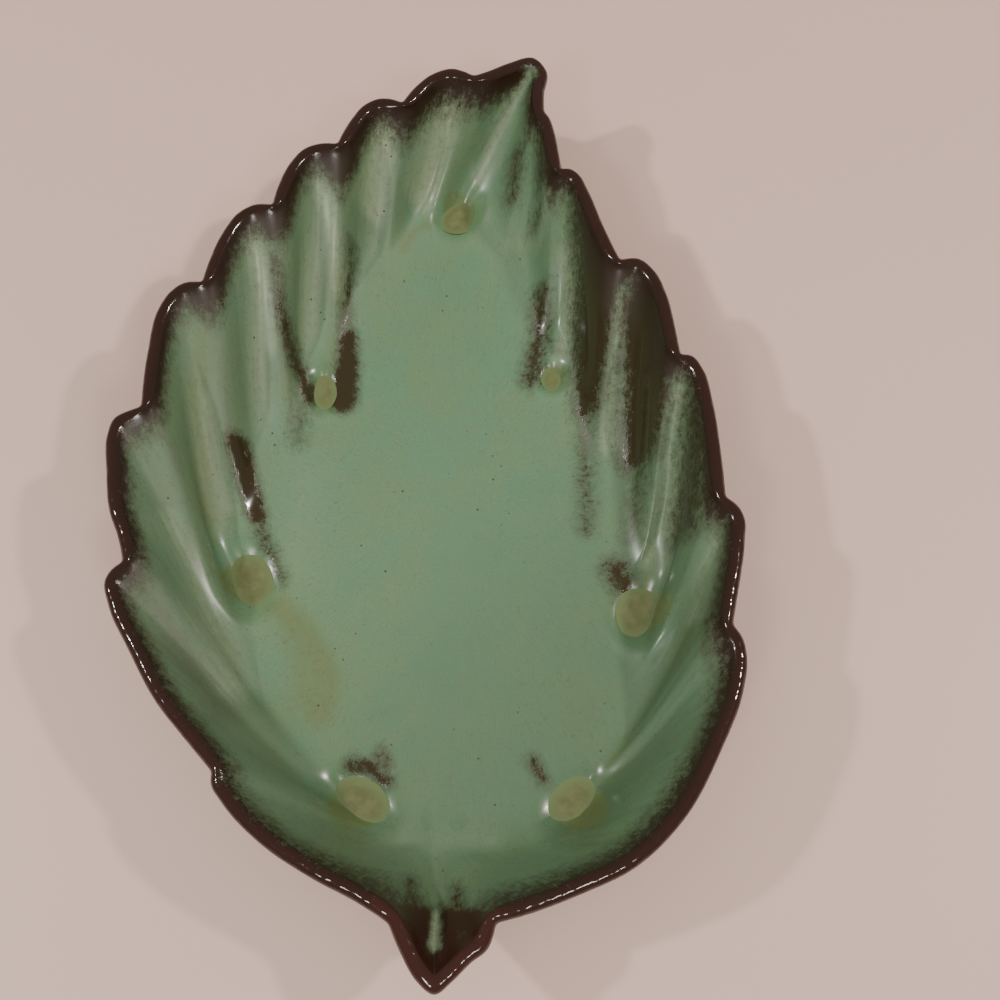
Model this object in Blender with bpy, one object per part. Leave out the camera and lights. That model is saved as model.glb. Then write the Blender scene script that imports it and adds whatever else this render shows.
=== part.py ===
"""A pottery dish in the shape of a toothed leaf.

The dish is one fired piece: a pressed clay shell on seven feet, and the coats of glaze on it. Every
skin is the same middle surface moved along its own normal, so the clay and the coats stay parallel.
The middle surface runs down from the toothed rim to a smooth foot line and on, nearly level, to the
middle of the floor. A station tells how far out a place on it lies: 0 is the middle of the floor, 1
the foot line and 2 the rim. A column is one line from the rim to the middle of the floor.

Metres. +Y points to the tip, +X to the right seen from above, +Z up. The origin is the middle of the
bounding box, at the table.
"""

import math
from collections import namedtuple

import bmesh
import bpy
import numpy as np
from mathutils import Matrix

MM = 0.001

# Stations of the middle surface
FOOT_STATION = 1
RIM_STATION = 2

# Overall size
LENGTH = 305 * MM
WIDTH = 197 * MM
HEIGHT = 46 * MM

# The shell and its coats
CLAY_WALL = 3.4 * MM
GLAZE = 0.5 * MM
CLEARANCE = 0.3 * MM
RIM_BAND = 5.5 * MM

# The way the wall bends up from the floor, as shares of its way from the foot line to the rim
BEND_START_SHARE = 0.22
BEND_SOFTNESS_SHARE = 0.17
WALL_CURVE_POWER = 1.12

# The grooves and ridges: the deepest groove, how sharp the ridges are, and how far up the wall they
# are strongest
GROOVE_DEPTH = 3 * MM
RIDGE_POWER = 1.5
GROOVE_PLACE_POWER = 0.8

# Rounding of the outline where two teeth meet, at the rim and further down the wall
NOTCH_ROUNDING = 0.9 * MM
INSET_ROUNDING = 0.8 * MM
INSET_STEPS = 10
NORMAL_ROUNDING = 1.8 * MM
WALL_ROUNDING = 7 * MM
FOOT_LINE_ROUNDING = 8 * MM

# How much the columns turn square to the foot line where they leave it, and where on the wall the
# full shape of the teeth, and of the lip over them, begins
FOOT_TURN_SHARE = 0.6
TEETH_START_SHARE = 0.45
NOSE_START_SHARE = 0.7

# Feet and the hollows above them
FOOT_LIFT = 4 * MM
FOOT_MARGIN = 1.5 * MM
FOOT_SINK = 0.4 * MM
FOOT_FLAT_SHARE = 0.5
BARE_FOOT = 1.2 * MM
POOL_HALF_ACROSS = 7 * MM
POOL_HALF_ALONG = 9 * MM
HOLLOW_DEPTH = 4.5 * MM
HOLLOW_MARGIN_ACROSS = 2.6 * MM
HOLLOW_MARGIN_ALONG = 4.2 * MM
HOLLOW_SHIFT = 2.5 * MM
POOL_DROP = 1.2 * MM

# Mesh steps: columns, rings inside and outside the foot line, and the edges that stay sharp
DENSE_COLUMNS = 4096
SLOPE_STEP = 0.002
COLUMN_PITCH = 13 * MM
LEAST_COLUMN_PITCH = 2.9 * MM
NOTCH_STEP = 3 * MM
FLOOR_RINGS = (15 * MM, 7 * MM)
WALL_RINGS = (5 * MM, 11 * MM)
UPPER_RING_SHARES = (1 / 3, 2 / 3)
LIP_STEPS = 4
POOL_SIDES = 20
SHARP_ANGLE = math.radians(50)
CUT_OVERRUN = 5 * MM

LIP_RADIUS = CLAY_WALL / 2 + CLEARANCE + GLAZE
COAT_SEAT = CLAY_WALL / 2 + CLEARANCE
FLOOR_MIDDLE = FOOT_LIFT + LIP_RADIUS
RIM_MIDDLE = HEIGHT - LIP_RADIUS

# The outline, tooth by tooth, counter-clockwise from the tip. Every point is a share of the width and
# of the length, from the middle of the box. A tooth starts at a notch, climbs to its crest, where its
# groove leaves the rim, and falls towards the next notch. ridge_foot and groove_foot are where the
# ridge below the notch and the groove below the crest reach the foot line. depth_share tells how deep
# the groove is halfway down, next to the deepest one.
Tooth = namedtuple(
    "Tooth", "rise_shares crest_share fall_shares ridge_foot_share groove_foot_share depth_share")

TEETH = {
    "tip": Tooth(
        ((0.200, 0.426), (0.200, 0.453), (0.206, 0.480)), (0.183, 0.500), ((0.134, 0.492), (0.102, 0.482)),
        (0.103, 0.330), (0.043, 0.363), 0.53),
    "left_1": Tooth(
        ((0.075, 0.475), (0.056, 0.482)), (0.040, 0.485), ((0.003, 0.478), (-0.028, 0.460)),
        (0.010, 0.355), (-0.022, 0.341), 0.6),
    "left_2": Tooth(
        ((-0.050, 0.438), (-0.066, 0.443)), (-0.089, 0.444), ((-0.117, 0.435), (-0.138, 0.416)),
        (-0.058, 0.312), (-0.100, 0.266), 0.67),
    "left_3": Tooth(
        ((-0.160, 0.383), (-0.186, 0.384)), (-0.214, 0.378), ((-0.239, 0.359), (-0.256, 0.332)),
        (-0.146, 0.200), (-0.184, 0.137), 0.93),
    "left_4": Tooth(
        ((-0.265, 0.304), (-0.292, 0.305)), (-0.320, 0.295), ((-0.344, 0.271), (-0.361, 0.241)),
        (-0.213, 0.088), (-0.240, 0.036), 0.87),
    "left_5": Tooth(
        ((-0.372, 0.208), (-0.400, 0.208)), (-0.424, 0.196), ((-0.440, 0.176), (-0.450, 0.127)),
        (-0.269, -0.030), (-0.285, -0.087), 0.87),
    "left_6": Tooth(
        ((-0.451, 0.063), (-0.472, 0.058), (-0.491, 0.051)), (-0.500, 0.032),
        ((-0.495, -0.007), (-0.482, -0.053), (-0.466, -0.077)),
        (-0.270, -0.150), (-0.228, -0.210), 0.53),
    "left_7": Tooth(
        ((-0.454, -0.104), (-0.468, -0.110), (-0.478, -0.122)), (-0.469, -0.147),
        ((-0.432, -0.191), (-0.382, -0.243), (-0.340, -0.274)),
        (-0.160, -0.274), (-0.094, -0.320), 0.27),
    "left_8": Tooth(
        ((-0.293, -0.307), (-0.294, -0.317)), (-0.277, -0.334),
        ((-0.218, -0.371), (-0.144, -0.401), (-0.073, -0.424)),
        (-0.060, -0.339), (-0.028, -0.355), 0.1),
    "stem": Tooth(
        ((-0.033, -0.440), (-0.016, -0.464), (0.010, -0.490)), (0.032, -0.500),
        ((0.056, -0.489), (0.084, -0.472), (0.105, -0.462), (0.111, -0.454)),
        (0.010, -0.368), (0.026, -0.371), 0.4),
    "right_6": Tooth(
        ((0.116, -0.440), (0.163, -0.432), (0.232, -0.416), (0.313, -0.392), (0.385, -0.349),
         (0.445, -0.284), (0.480, -0.232)), (0.489, -0.197), ((0.484, -0.179),),
        (0.046, -0.371), (0.234, -0.320), 0.33),
    "right_5": Tooth(
        ((0.471, -0.167), (0.481, -0.138), (0.498, -0.081)), (0.500, -0.058), ((0.491, -0.045),),
        (0.287, -0.280), (0.321, -0.225), 0.53),
    "right_4": Tooth(
        ((0.473, -0.036), (0.470, 0.015), (0.462, 0.070), (0.451, 0.104)), (0.431, 0.122), (),
        (0.340, -0.171), (0.347, -0.117), 1.0),
    "right_3": Tooth(
        ((0.415, 0.122), (0.408, 0.157), (0.398, 0.192), (0.378, 0.223)), (0.354, 0.237), (),
        (0.325, -0.063), (0.293, -0.003), 0.93),
    "right_2": Tooth(
        ((0.323, 0.235), (0.296, 0.279), (0.273, 0.322)), (0.255, 0.345), ((0.241, 0.351),),
        (0.256, 0.066), (0.209, 0.150), 0.87),
    "right_1": Tooth(
        ((0.228, 0.349), (0.223, 0.375)), (0.215, 0.405), ((0.208, 0.419),),
        (0.178, 0.217), (0.143, 0.276), 0.6),
}

# The pools, each at the foot of one tooth's groove, and their sizes across and along the groove, next
# to the largest one's
Pool = namedtuple("Pool", "tooth across_share along_share")

POOLS = {
    "tip_pool": Pool("tip", 0.89, 0.78),
    "upper_left_pool": Pool("left_3", 0.66, 0.71),
    "middle_left_pool": Pool("left_5", 1.0, 1.0),
    "lower_left_pool": Pool("left_7", 1.0, 1.0),
    "lower_right_pool": Pool("right_6", 1.0, 1.0),
    "middle_right_pool": Pool("right_4", 1.0, 0.89),
    "upper_right_pool": Pool("right_2", 0.66, 0.6),
}

# Colour and roughness of each finish
Finish = namedtuple("Finish", "colour roughness")

FINISHES = {
    "clay": Finish((0.36, 0.17, 0.10), 0.85),
    "green_glaze": Finish((0.17, 0.25, 0.14), 0.30),
    "brown_glaze": Finish((0.070, 0.033, 0.024), 0.12),
    "pooled_glaze": Finish((0.17, 0.17, 0.062), 0.10),
}


def tangents(stations, points, closed):
    """Slope of a smooth curve through the points, at each of them."""
    if closed:
        turn = stations[-1]
        stations = np.concatenate(([stations[-2] - turn], stations, [stations[1] + turn]))
        points = np.vstack((points[-2], points, points[1]))
    steps = np.diff(stations)[:, None]
    slopes = np.diff(points, axis=0) / steps
    middle = (slopes[:-1] * steps[1:] + slopes[1:] * steps[:-1]) / (steps[:-1] + steps[1:])
    if closed:
        return middle
    first = 2 * slopes[:1] - middle[:1]
    last = 2 * slopes[-1:] - middle[-1:]
    return np.vstack((first, middle, last))


def curve_through(stations, points, wanted, closed=False):
    """Points at the wanted stations on a smooth curve through the given ones."""
    slopes = tangents(stations, points, closed)
    index = np.clip(np.searchsorted(stations, wanted, side="right") - 1, 0, len(stations) - 2)
    step = (stations[index + 1] - stations[index])[:, None]
    part = (wanted - stations[index])[:, None] / step
    return ((1 + 2 * part) * (1 - part) ** 2 * points[index]
            + part * (1 - part) ** 2 * step * slopes[index]
            + part ** 2 * (3 - 2 * part) * points[index + 1]
            + part ** 2 * (part - 1) * step * slopes[index + 1])


def run_length(points):
    """Distance along a row of points, from the first one."""
    return np.concatenate(([0], np.cumsum(np.linalg.norm(np.diff(points, axis=0), axis=1))))


def smoothstep(value):
    """Zero up to 0, one from 1, with a soft start and end."""
    value = np.clip(value, 0, 1)
    return value * value * (3 - 2 * value)


def blurred(loop, spread, pitch):
    """A closed loop of values, rounded off over a length on each side."""
    turns = np.fft.fftfreq(len(loop), d=pitch)
    weights = np.exp(-2 * (math.pi * turns * spread) ** 2)
    if loop.ndim == 2:
        weights = weights[:, None]
    return np.real(np.fft.ifft(np.fft.fft(loop, axis=0) * weights, axis=0))


def outward(loop):
    """Unit vectors that point out of a counter-clockwise loop."""
    along = np.roll(loop, -1, axis=0) - np.roll(loop, 1, axis=0)
    normals = np.column_stack((along[:, 1], -along[:, 0]))
    return normals / np.linalg.norm(normals, axis=1)[:, None]


class Leaf:
    """The middle surface of the dish, on closely spaced columns that run from the rim to the floor."""

    def __init__(self):
        scale = np.array((WIDTH, LENGTH))
        rows = []
        marks = []
        for index, tooth in enumerate(TEETH.values()):
            following = list(TEETH.values())[(index + 1) % len(TEETH)]
            shares = (*tooth.rise_shares, tooth.crest_share, *tooth.fall_shares, following.rise_shares[0])
            points = np.array(shares) * scale
            stations = run_length(points)
            fine = curve_through(stations, points, np.linspace(0, stations[-1], DENSE_COLUMNS))
            crest = len(tooth.rise_shares)
            marks.append((len(rows) * (DENSE_COLUMNS - 1), stations[crest] / stations[-1]))
            rows.append(fine[:-1])
        path = np.vstack(rows + [rows[0][:1]])
        lengths = run_length(path)
        self.rim_length = lengths[-1]
        self.pitch = self.rim_length / DENSE_COLUMNS
        self.arc = np.arange(DENSE_COLUMNS) * self.pitch
        self.notches = [lengths[start] for start, _ in marks]
        self.crests = [lengths[start + round(part * (DENSE_COLUMNS - 1))] for start, part in marks]
        even = np.column_stack([np.interp(self.arc, lengths, path[:, axis]) for axis in range(2)])
        edge = blurred(even, NOTCH_ROUNDING, self.pitch)
        low = edge.min(axis=0)
        high = edge.max(axis=0)
        edge = (edge - (low + high) / 2) * scale / (high - low)

        self.rim = edge
        for _ in range(INSET_STEPS):
            inward = self.rim - outward(self.rim) * (LIP_RADIUS / INSET_STEPS)
            self.rim = blurred(inward, INSET_ROUNDING, self.pitch)
        self.soft_rim = blurred(self.rim, WALL_ROUNDING, self.pitch)
        self.nose = edge - self.rim - LIP_RADIUS * self.soft_outward(self.rim)

        keys = []
        feet = []
        for tooth, notch, crest in zip(TEETH.values(), self.notches, self.crests):
            keys += [notch, crest]
            feet += [tooth.ridge_foot_share, tooth.groove_foot_share]
        self.keys = np.array(keys + [keys[0] + self.rim_length])
        feet = np.array(feet + [feet[0]]) * scale
        foot_marks = run_length(feet)
        drift = np.interp(self.arc, self.keys, foot_marks) - self.arc * foot_marks[-1] / self.rim_length
        drift = blurred(drift, FOOT_LINE_ROUNDING, self.pitch)
        wanted = (self.arc * foot_marks[-1] / self.rim_length + drift) % foot_marks[-1]
        foot = curve_through(foot_marks, feet, wanted, closed=True)
        self.foot = blurred(foot, FOOT_LINE_ROUNDING, self.pitch)
        self.foot_out = outward(self.foot)
        self.middle = (self.foot.min(axis=0) + self.foot.max(axis=0)) / 2
        self.span = np.linalg.norm(self.soft_rim - self.foot, axis=1)
        square_span = np.einsum("ij,ij->i", self.soft_rim - self.foot, self.foot_out)
        self.pace = FOOT_TURN_SHARE * self.span + (1 - FOOT_TURN_SHARE) * square_span
        self.reach = np.linalg.norm(self.foot - self.middle, axis=1)
        self.wave = self.groove_wave()
        self.hollows = [self.hollow(pool) for pool in POOLS.values()]

    def soft_outward(self, loop):
        """Outward unit vectors of a loop, rounded off where it turns sharply."""
        vectors = blurred(outward(loop), NORMAL_ROUNDING, self.pitch)
        return vectors / np.linalg.norm(vectors, axis=1)[:, None]

    def groove_wave(self):
        """How far each column lies above the plain loft halfway down: ridges above, grooves below."""
        depths = [GROOVE_DEPTH * tooth.depth_share for tooth in TEETH.values()]
        wave = np.zeros(DENSE_COLUMNS)
        for index, depth in enumerate(depths):
            neighbours = (depths[index - 1] + depth) / 2, (depth + depths[(index + 1) % len(depths)]) / 2
            start, crest, end = self.keys[2 * index: 2 * index + 3]
            for side, (edge, ridge) in enumerate(((start, neighbours[0]), (end, neighbours[1]))):
                part = (self.arc - edge) / (crest - edge)
                inside = (part >= 0) & (part <= 1)
                fall = (1 - smoothstep(part[inside])) ** RIDGE_POWER
                wave[inside] = fall * (ridge / 2 + depth) - depth
        return wave

    def column_at(self, length):
        """Index of the column at a distance along the rim."""
        return int(round(length / self.pitch)) % DENSE_COLUMNS

    def hollow(self, pool):
        """Middle, groove direction and half sizes of the hollow that a pool lies in."""
        middle = np.array(TEETH[pool.tooth].groove_foot_share) * (WIDTH, LENGTH)
        crest = self.column_at(self.crests[list(TEETH).index(pool.tooth)])
        towards_rim = self.rim[crest] - middle
        along = towards_rim / np.linalg.norm(towards_rim)
        half_across = POOL_HALF_ACROSS * pool.across_share + HOLLOW_MARGIN_ACROSS
        half_along = POOL_HALF_ALONG * pool.along_share + HOLLOW_MARGIN_ALONG
        return middle - along * HOLLOW_SHIFT, along, half_across, half_along

    def beside(self, place):
        """Index of the column whose foot is nearest to a place."""
        return int(np.argmin(np.linalg.norm(self.foot - place, axis=1)))

    def radius_in(self, hollow, plan, margin):
        """Distance from a hollow's middle as a share of its size there, which is 1 on its edge."""
        middle, along, half_across, half_along = hollow
        offset = plan - middle
        forward = offset @ along
        sideways = offset @ np.array((-along[1], along[0]))
        return np.hypot(forward / (half_along + margin), sideways / (half_across + margin))

    def plan(self, station):
        """One ring of the middle surface, seen from above."""
        climb = np.clip(station - FOOT_STATION, 0, 1)
        sharp = smoothstep((climb - TEETH_START_SHARE) / (1 - TEETH_START_SHARE))[:, None]
        rim = self.soft_rim * (1 - sharp) + self.rim * sharp
        straight = rim - self.foot
        turned = self.foot_out * np.linalg.norm(straight, axis=1)[:, None] - straight
        early = FOOT_TURN_SHARE * climb * (1 - climb) ** 2
        wall = self.foot + straight * climb[:, None] + turned * early[:, None]
        floor = self.middle + (self.foot - self.middle) * np.minimum(station, FOOT_STATION)[:, None]
        return np.where((station > FOOT_STATION)[:, None], wall, floor)

    def level(self, station):
        """Height of one ring of the middle surface."""
        outer = station - FOOT_STATION
        way = np.where(outer > 0, outer, outer * self.reach / self.span)
        bend = BEND_SOFTNESS_SHARE * np.logaddexp(0, (way - BEND_START_SHARE) / BEND_SOFTNESS_SHARE)
        full = BEND_SOFTNESS_SHARE * np.logaddexp(0, (1 - BEND_START_SHARE) / BEND_SOFTNESS_SHARE)
        return FLOOR_MIDDLE + (RIM_MIDDLE - FLOOR_MIDDLE) * (bend / full) ** WALL_CURVE_POWER

    def ring(self, station, offset, angle=0.0):
        """One ring of a skin: a station, and an offset from the middle surface at an angle.

        Angle 0 is square to the surface, into the dish; 180 degrees is square to it, out of the dish.
        Between them the offset turns over the lip.
        """
        station = np.broadcast_to(np.asarray(station, dtype=float), (DENSE_COLUMNS,))
        plan = self.plan(station)
        below = station - SLOPE_STEP
        rise = (self.level(station) - self.level(below)) / (station - below)
        way = (plan - self.plan(below)) / (station - below)[:, None]
        out = self.soft_outward(plan)
        slope = np.arctan2(rise, np.einsum("ij,ij->i", way, out))
        square = np.column_stack((-out * np.sin(slope)[:, None], np.cos(slope)))
        upward = np.column_stack((out * np.cos(slope)[:, None], np.sin(slope)))
        base = np.column_stack((plan, self.level(station)))
        climb = np.clip(station - FOOT_STATION, 0, 1)
        base += square * (self.wave * np.sin(math.pi * climb ** GROOVE_PLACE_POWER))[:, None]
        points = base + offset * (math.cos(angle) * square + math.sin(angle) * upward)
        if angle == 0:
            points[:, 2] -= self.hollow_depth(plan, CLAY_WALL / 2 - offset)
        elif angle == math.pi:
            foot = self.foot_share(plan, FOOT_MARGIN + offset - CLAY_WALL / 2)
            bottom = -FOOT_SINK - (offset - CLAY_WALL / 2)
            points[:, 2] = points[:, 2] * (1 - foot) + bottom * foot
        near_rim = smoothstep((climb - NOSE_START_SHARE) / (1 - NOSE_START_SHARE))
        over = 1 if angle > math.pi / 2 else math.sin(angle)
        points[:, :2] += self.nose * (near_rim * over)[:, None]
        return points

    def hollow_depth(self, plan, margin):
        """How far the inside is pressed down at each point of a ring."""
        depth = np.zeros(len(plan))
        for hollow in self.hollows:
            radius = self.radius_in(hollow, plan, margin)
            depth = np.maximum(depth, HOLLOW_DEPTH * (1 + np.cos(math.pi * np.clip(radius, 0, 1))) / 2)
        return depth

    def foot_share(self, plan, margin):
        """How far the outside is drawn down to the table at each point of a ring, from 0 to 1."""
        share = np.zeros(len(plan))
        for hollow in self.hollows:
            radius = self.radius_in(hollow, plan, margin)
            share = np.maximum(share, 1 - smoothstep((radius - FOOT_FLAT_SHARE) / (1 - FOOT_FLAT_SHARE)))
        return share

    def columns(self):
        """Columns of the solids: at every key line, across every hollow, and between them."""
        marks = list(self.keys[:-1])
        for notch in self.notches:
            marks += [notch - NOTCH_STEP, notch + NOTCH_STEP]
        foot_run = run_length(self.foot)
        for middle, _, half_across, _ in self.hollows:
            beside = self.beside(middle)
            for share in (-1, -0.5, 0, 0.5, 1):
                wanted = (foot_run[beside] + share * half_across) % foot_run[-1]
                marks.append(self.arc[np.searchsorted(foot_run, wanted)])
        marks = sorted(mark % self.rim_length for mark in marks)
        fixed = set(float(key) for key in self.keys[:-1])
        kept = []
        for mark in marks:
            close = kept and mark - kept[-1] < LEAST_COLUMN_PITCH
            if not close:
                kept.append(mark)
            elif mark in fixed:
                kept[-1] = mark
        filled = []
        for mark, after in zip(kept, kept[1:] + [kept[0] + self.rim_length]):
            count = max(1, round((after - mark) / COLUMN_PITCH))
            filled += [mark + (after - mark) * step / count for step in range(count)]
        return sorted(set(self.column_at(mark) for mark in filled))


def ring_path(leaf, last, offset, angle):
    """Rings of one skin, from the floor out to a last station."""
    rings = [(FOOT_STATION - inner / leaf.reach, offset, angle) for inner in FLOOR_RINGS]
    rings += [(FOOT_STATION, offset, angle)]
    rings += [(FOOT_STATION + outer / leaf.pace, offset, angle) for outer in WALL_RINGS]
    start = rings[-1][0]
    rings += [(start + (last - start) * share, offset, angle) for share in UPPER_RING_SHARES]
    rings += [(last, offset, angle)]
    return rings


def lip_path(offset):
    """Rings that turn over the lip, with both its sides."""
    return [(RIM_STATION, offset, math.pi * step / LIP_STEPS) for step in range(LIP_STEPS + 1)]


def ring_order(station, angle):
    """Place of a ring on the way from the floor's middle, over the lip, to the middle of the back."""
    return (np.mean(station) - RIM_STATION) * math.cos(angle) + angle / math.pi


def rings_of(leaf, columns, path):
    """The rings of a path, each with its order and its points on the wanted columns."""
    return [(ring_order(station, angle), leaf.ring(station, offset, angle)[columns])
            for station, offset, angle in path]


def loft(name, leaf, rings, poles, finish, collection):
    """A closed mesh through rings of one number of points, with a pole at both ends or none."""
    mesh = bpy.data.meshes.new(name)
    work = bmesh.new()
    rows = [(order, [work.verts.new(point) for point in points]) for order, points in rings]
    pairs = list(zip(rows, rows[1:]))
    if poles is None:
        pairs.append((rows[-1], rows[0]))
    count = len(rows[0][1])
    for pair in pairs:
        (_, first), (_, second) = sorted(pair, key=lambda row: row[0])
        for index in range(count):
            after = (index + 1) % count
            work.faces.new((first[index], first[after], second[after]))
            work.faces.new((first[index], second[after], second[index]))
    if poles is not None:
        for (_, row), height in zip((rows[0], rows[-1]), poles):
            pole = work.verts.new((*leaf.middle, height))
            for index in range(count):
                work.faces.new((row[index], row[(index + 1) % count], pole))
    bmesh.ops.recalc_face_normals(work, faces=work.faces)
    work.to_mesh(mesh)
    work.free()
    return add_object(name, mesh, finish, collection)


def add_object(name, mesh, finish, collection):
    """An object in a collection, shaded smooth, with its own material."""
    thing = bpy.data.objects.new(name, mesh)
    collection.objects.link(thing)
    mesh.shade_smooth()
    mesh.set_sharp_from_angle(angle=SHARP_ANGLE)
    if finish is not None:
        mesh.materials.append(glaze_material(name, FINISHES[finish]))
    return thing


def glaze_material(name, finish):
    """A Principled material in one finish."""
    material = bpy.data.materials.new(name)
    material.use_nodes = True
    shader = material.node_tree.nodes["Principled BSDF"]
    shader.inputs["Base Color"].default_value = (*finish.colour, 1)
    shader.inputs["Roughness"].default_value = finish.roughness
    shader.inputs["Metallic"].default_value = 0
    return material


def make_clay_body(leaf, columns, collection, table):
    """The clay shell, cut level where its feet stand."""
    half = CLAY_WALL / 2
    path = ring_path(leaf, RIM_STATION - RIM_BAND / leaf.span, half, 0.0) + lip_path(half)
    path += ring_path(leaf, RIM_STATION - RIM_BAND / leaf.span, half, math.pi)[::-1]
    poles = (FLOOR_MIDDLE + half, FLOOR_MIDDLE - half)
    clay = loft("clay_body", leaf, rings_of(leaf, columns, path), poles, "clay", collection)
    cut(clay, table)


def make_inside_glaze(leaf, columns, collection):
    """The coat over the floor and the wall, up to the rim band."""
    end = RIM_STATION - (RIM_BAND + CLEARANCE) / leaf.span
    path = ring_path(leaf, end, LIP_RADIUS, 0.0) + ring_path(leaf, end, COAT_SEAT, 0.0)[::-1]
    poles = (FLOOR_MIDDLE + LIP_RADIUS, FLOOR_MIDDLE + COAT_SEAT)
    loft("inside_glaze", leaf, rings_of(leaf, columns, path), poles, "green_glaze", collection)


def make_outside_glaze(leaf, columns, collection, bare_slab):
    """The coat over the back, open round the bare bottom of each foot."""
    end = RIM_STATION - (RIM_BAND + CLEARANCE) / leaf.span
    path = ring_path(leaf, end, LIP_RADIUS, math.pi) + ring_path(leaf, end, COAT_SEAT, math.pi)[::-1]
    poles = (FLOOR_MIDDLE - LIP_RADIUS, FLOOR_MIDDLE - COAT_SEAT)
    coat = loft("outside_glaze", leaf, rings_of(leaf, columns, path), poles, "green_glaze", collection)
    cut(coat, bare_slab)


def make_rim_glaze(leaf, columns, collection):
    """The coat over the lip, a band on each side of it."""
    start = RIM_STATION - RIM_BAND / leaf.span
    path = [(start, LIP_RADIUS, 0.0)] + lip_path(LIP_RADIUS) + [(start, LIP_RADIUS, math.pi)]
    path += [(start, COAT_SEAT, math.pi)] + lip_path(COAT_SEAT)[::-1] + [(start, COAT_SEAT, 0.0)]
    loft("rim_glaze", leaf, rings_of(leaf, columns, path), None, "brown_glaze", collection)


def make_pools(leaf, columns, collection, cutters):
    """The seven pools: level on top, and shaped below by the hollow that each lies in."""
    seat = LIP_RADIUS + CLEARANCE
    rings = rings_of(leaf, columns, ring_path(leaf, RIM_STATION - RIM_BAND / leaf.span, seat, 0.0))
    order, edge = rings[-1]
    skirt = edge.copy()
    skirt[:, 2] = -CUT_OVERRUN
    rings.append((order + 1, skirt))
    bed = loft("pool_bed", leaf, rings, (FLOOR_MIDDLE + seat, -CUT_OVERRUN), None, cutters)
    hide(bed)
    for (name, pool), hollow in zip(POOLS.items(), leaf.hollows):
        middle, along, half_across, half_along = hollow
        column = leaf.beside(middle)
        surface = leaf.level(np.ones(DENSE_COLUMNS))[column] + LIP_RADIUS
        top = surface - POOL_DROP
        bottom = surface - HOLLOW_DEPTH
        mesh = bpy.data.meshes.new(name)
        work = bmesh.new()
        bmesh.ops.create_cone(
            work, cap_ends=True, segments=POOL_SIDES, radius1=1, radius2=1, depth=top - bottom)
        size = Matrix.Diagonal((half_across, half_along, 1, 1))
        turn = Matrix.Rotation(math.atan2(along[1], along[0]) - math.pi / 2, 4, "Z")
        place = Matrix.Translation((*middle, (top + bottom) / 2))
        bmesh.ops.transform(work, matrix=place @ turn @ size, verts=work.verts)
        work.to_mesh(mesh)
        work.free()
        blank = add_object(name, mesh, "pooled_glaze", collection)
        cut(blank, bed)


def slab_under(name, top, collection):
    """A flat cutter from a height down past everything."""
    bottom = -(FOOT_SINK + LIP_RADIUS + CUT_OVERRUN)
    mesh = bpy.data.meshes.new(name)
    work = bmesh.new()
    bmesh.ops.create_cube(work, size=1)
    size = Matrix.Diagonal((WIDTH + CUT_OVERRUN, LENGTH + CUT_OVERRUN, top - bottom, 1))
    place = Matrix.Translation((0, 0, (top + bottom) / 2))
    bmesh.ops.transform(work, matrix=place @ size, verts=work.verts)
    work.to_mesh(mesh)
    work.free()
    slab = add_object(name, mesh, None, collection)
    hide(slab)
    return slab


def hide(cutter):
    """Mark an object as a cutter."""
    cutter.hide_render = True
    cutter.display_type = "WIRE"


def cut(thing, cutter):
    """Take one solid away from another."""
    modifier = thing.modifiers.new("cut", "BOOLEAN")
    modifier.operation = "DIFFERENCE"
    modifier.solver = "EXACT"
    modifier.object = cutter


def main():
    """Make the leaf dish."""
    for thing in list(bpy.data.objects):
        bpy.data.objects.remove(thing, do_unlink=True)
    dish = bpy.data.collections.new("leaf_dish")
    cutters = bpy.data.collections.new("cutters")
    for collection in (dish, cutters):
        bpy.context.scene.collection.children.link(collection)
    leaf = Leaf()
    columns = leaf.columns()
    make_clay_body(leaf, columns, dish, slab_under("table", 0, cutters))
    make_inside_glaze(leaf, columns, dish)
    make_rim_glaze(leaf, columns, dish)
    make_outside_glaze(leaf, columns, dish, slab_under("bare_slab", BARE_FOOT, cutters))
    make_pools(leaf, columns, dish, cutters)


main()
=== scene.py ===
"""Looks of the leaf dish: the glazed pottery skins, the pools of glass, the pinholes and the stage.

Every skin is the middle surface of the clay moved along its own normal, on many more columns and rings
than the plain solids have. A station tells how far out a place lies: 0 is the middle of the floor, 1
the foot line of the wall and 2 the rim. A column is one line from the rim to the middle of the floor.
Metres. +Y points to the tip, +X to the right seen from above, +Z up.
"""

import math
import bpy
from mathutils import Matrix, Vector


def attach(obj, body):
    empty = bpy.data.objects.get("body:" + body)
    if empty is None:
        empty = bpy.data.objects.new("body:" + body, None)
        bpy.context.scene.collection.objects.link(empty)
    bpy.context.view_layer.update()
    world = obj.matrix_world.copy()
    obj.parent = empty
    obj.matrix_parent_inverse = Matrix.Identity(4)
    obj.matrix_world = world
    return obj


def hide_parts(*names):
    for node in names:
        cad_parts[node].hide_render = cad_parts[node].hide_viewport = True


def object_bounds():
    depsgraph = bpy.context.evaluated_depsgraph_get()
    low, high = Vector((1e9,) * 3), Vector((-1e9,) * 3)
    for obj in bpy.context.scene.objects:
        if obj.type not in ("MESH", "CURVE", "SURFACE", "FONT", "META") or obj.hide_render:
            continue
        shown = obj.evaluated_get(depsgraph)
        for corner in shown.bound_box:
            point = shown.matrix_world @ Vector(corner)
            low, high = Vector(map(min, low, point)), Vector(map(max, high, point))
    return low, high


bl_info = {
    "name": "Leaf dish",
    "version": (1, 0, 0),
    "blender": (4, 5, 0),
    "location": "3D View > Sidebar > Leaf dish",
    "description": "Makes the fine glazed surfaces of a pottery leaf dish",
    "category": "Add Mesh",
}

from collections import namedtuple

import bmesh
import bpy
import numpy as np
from bpy.props import FloatProperty, FloatVectorProperty, IntProperty, PointerProperty

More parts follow.
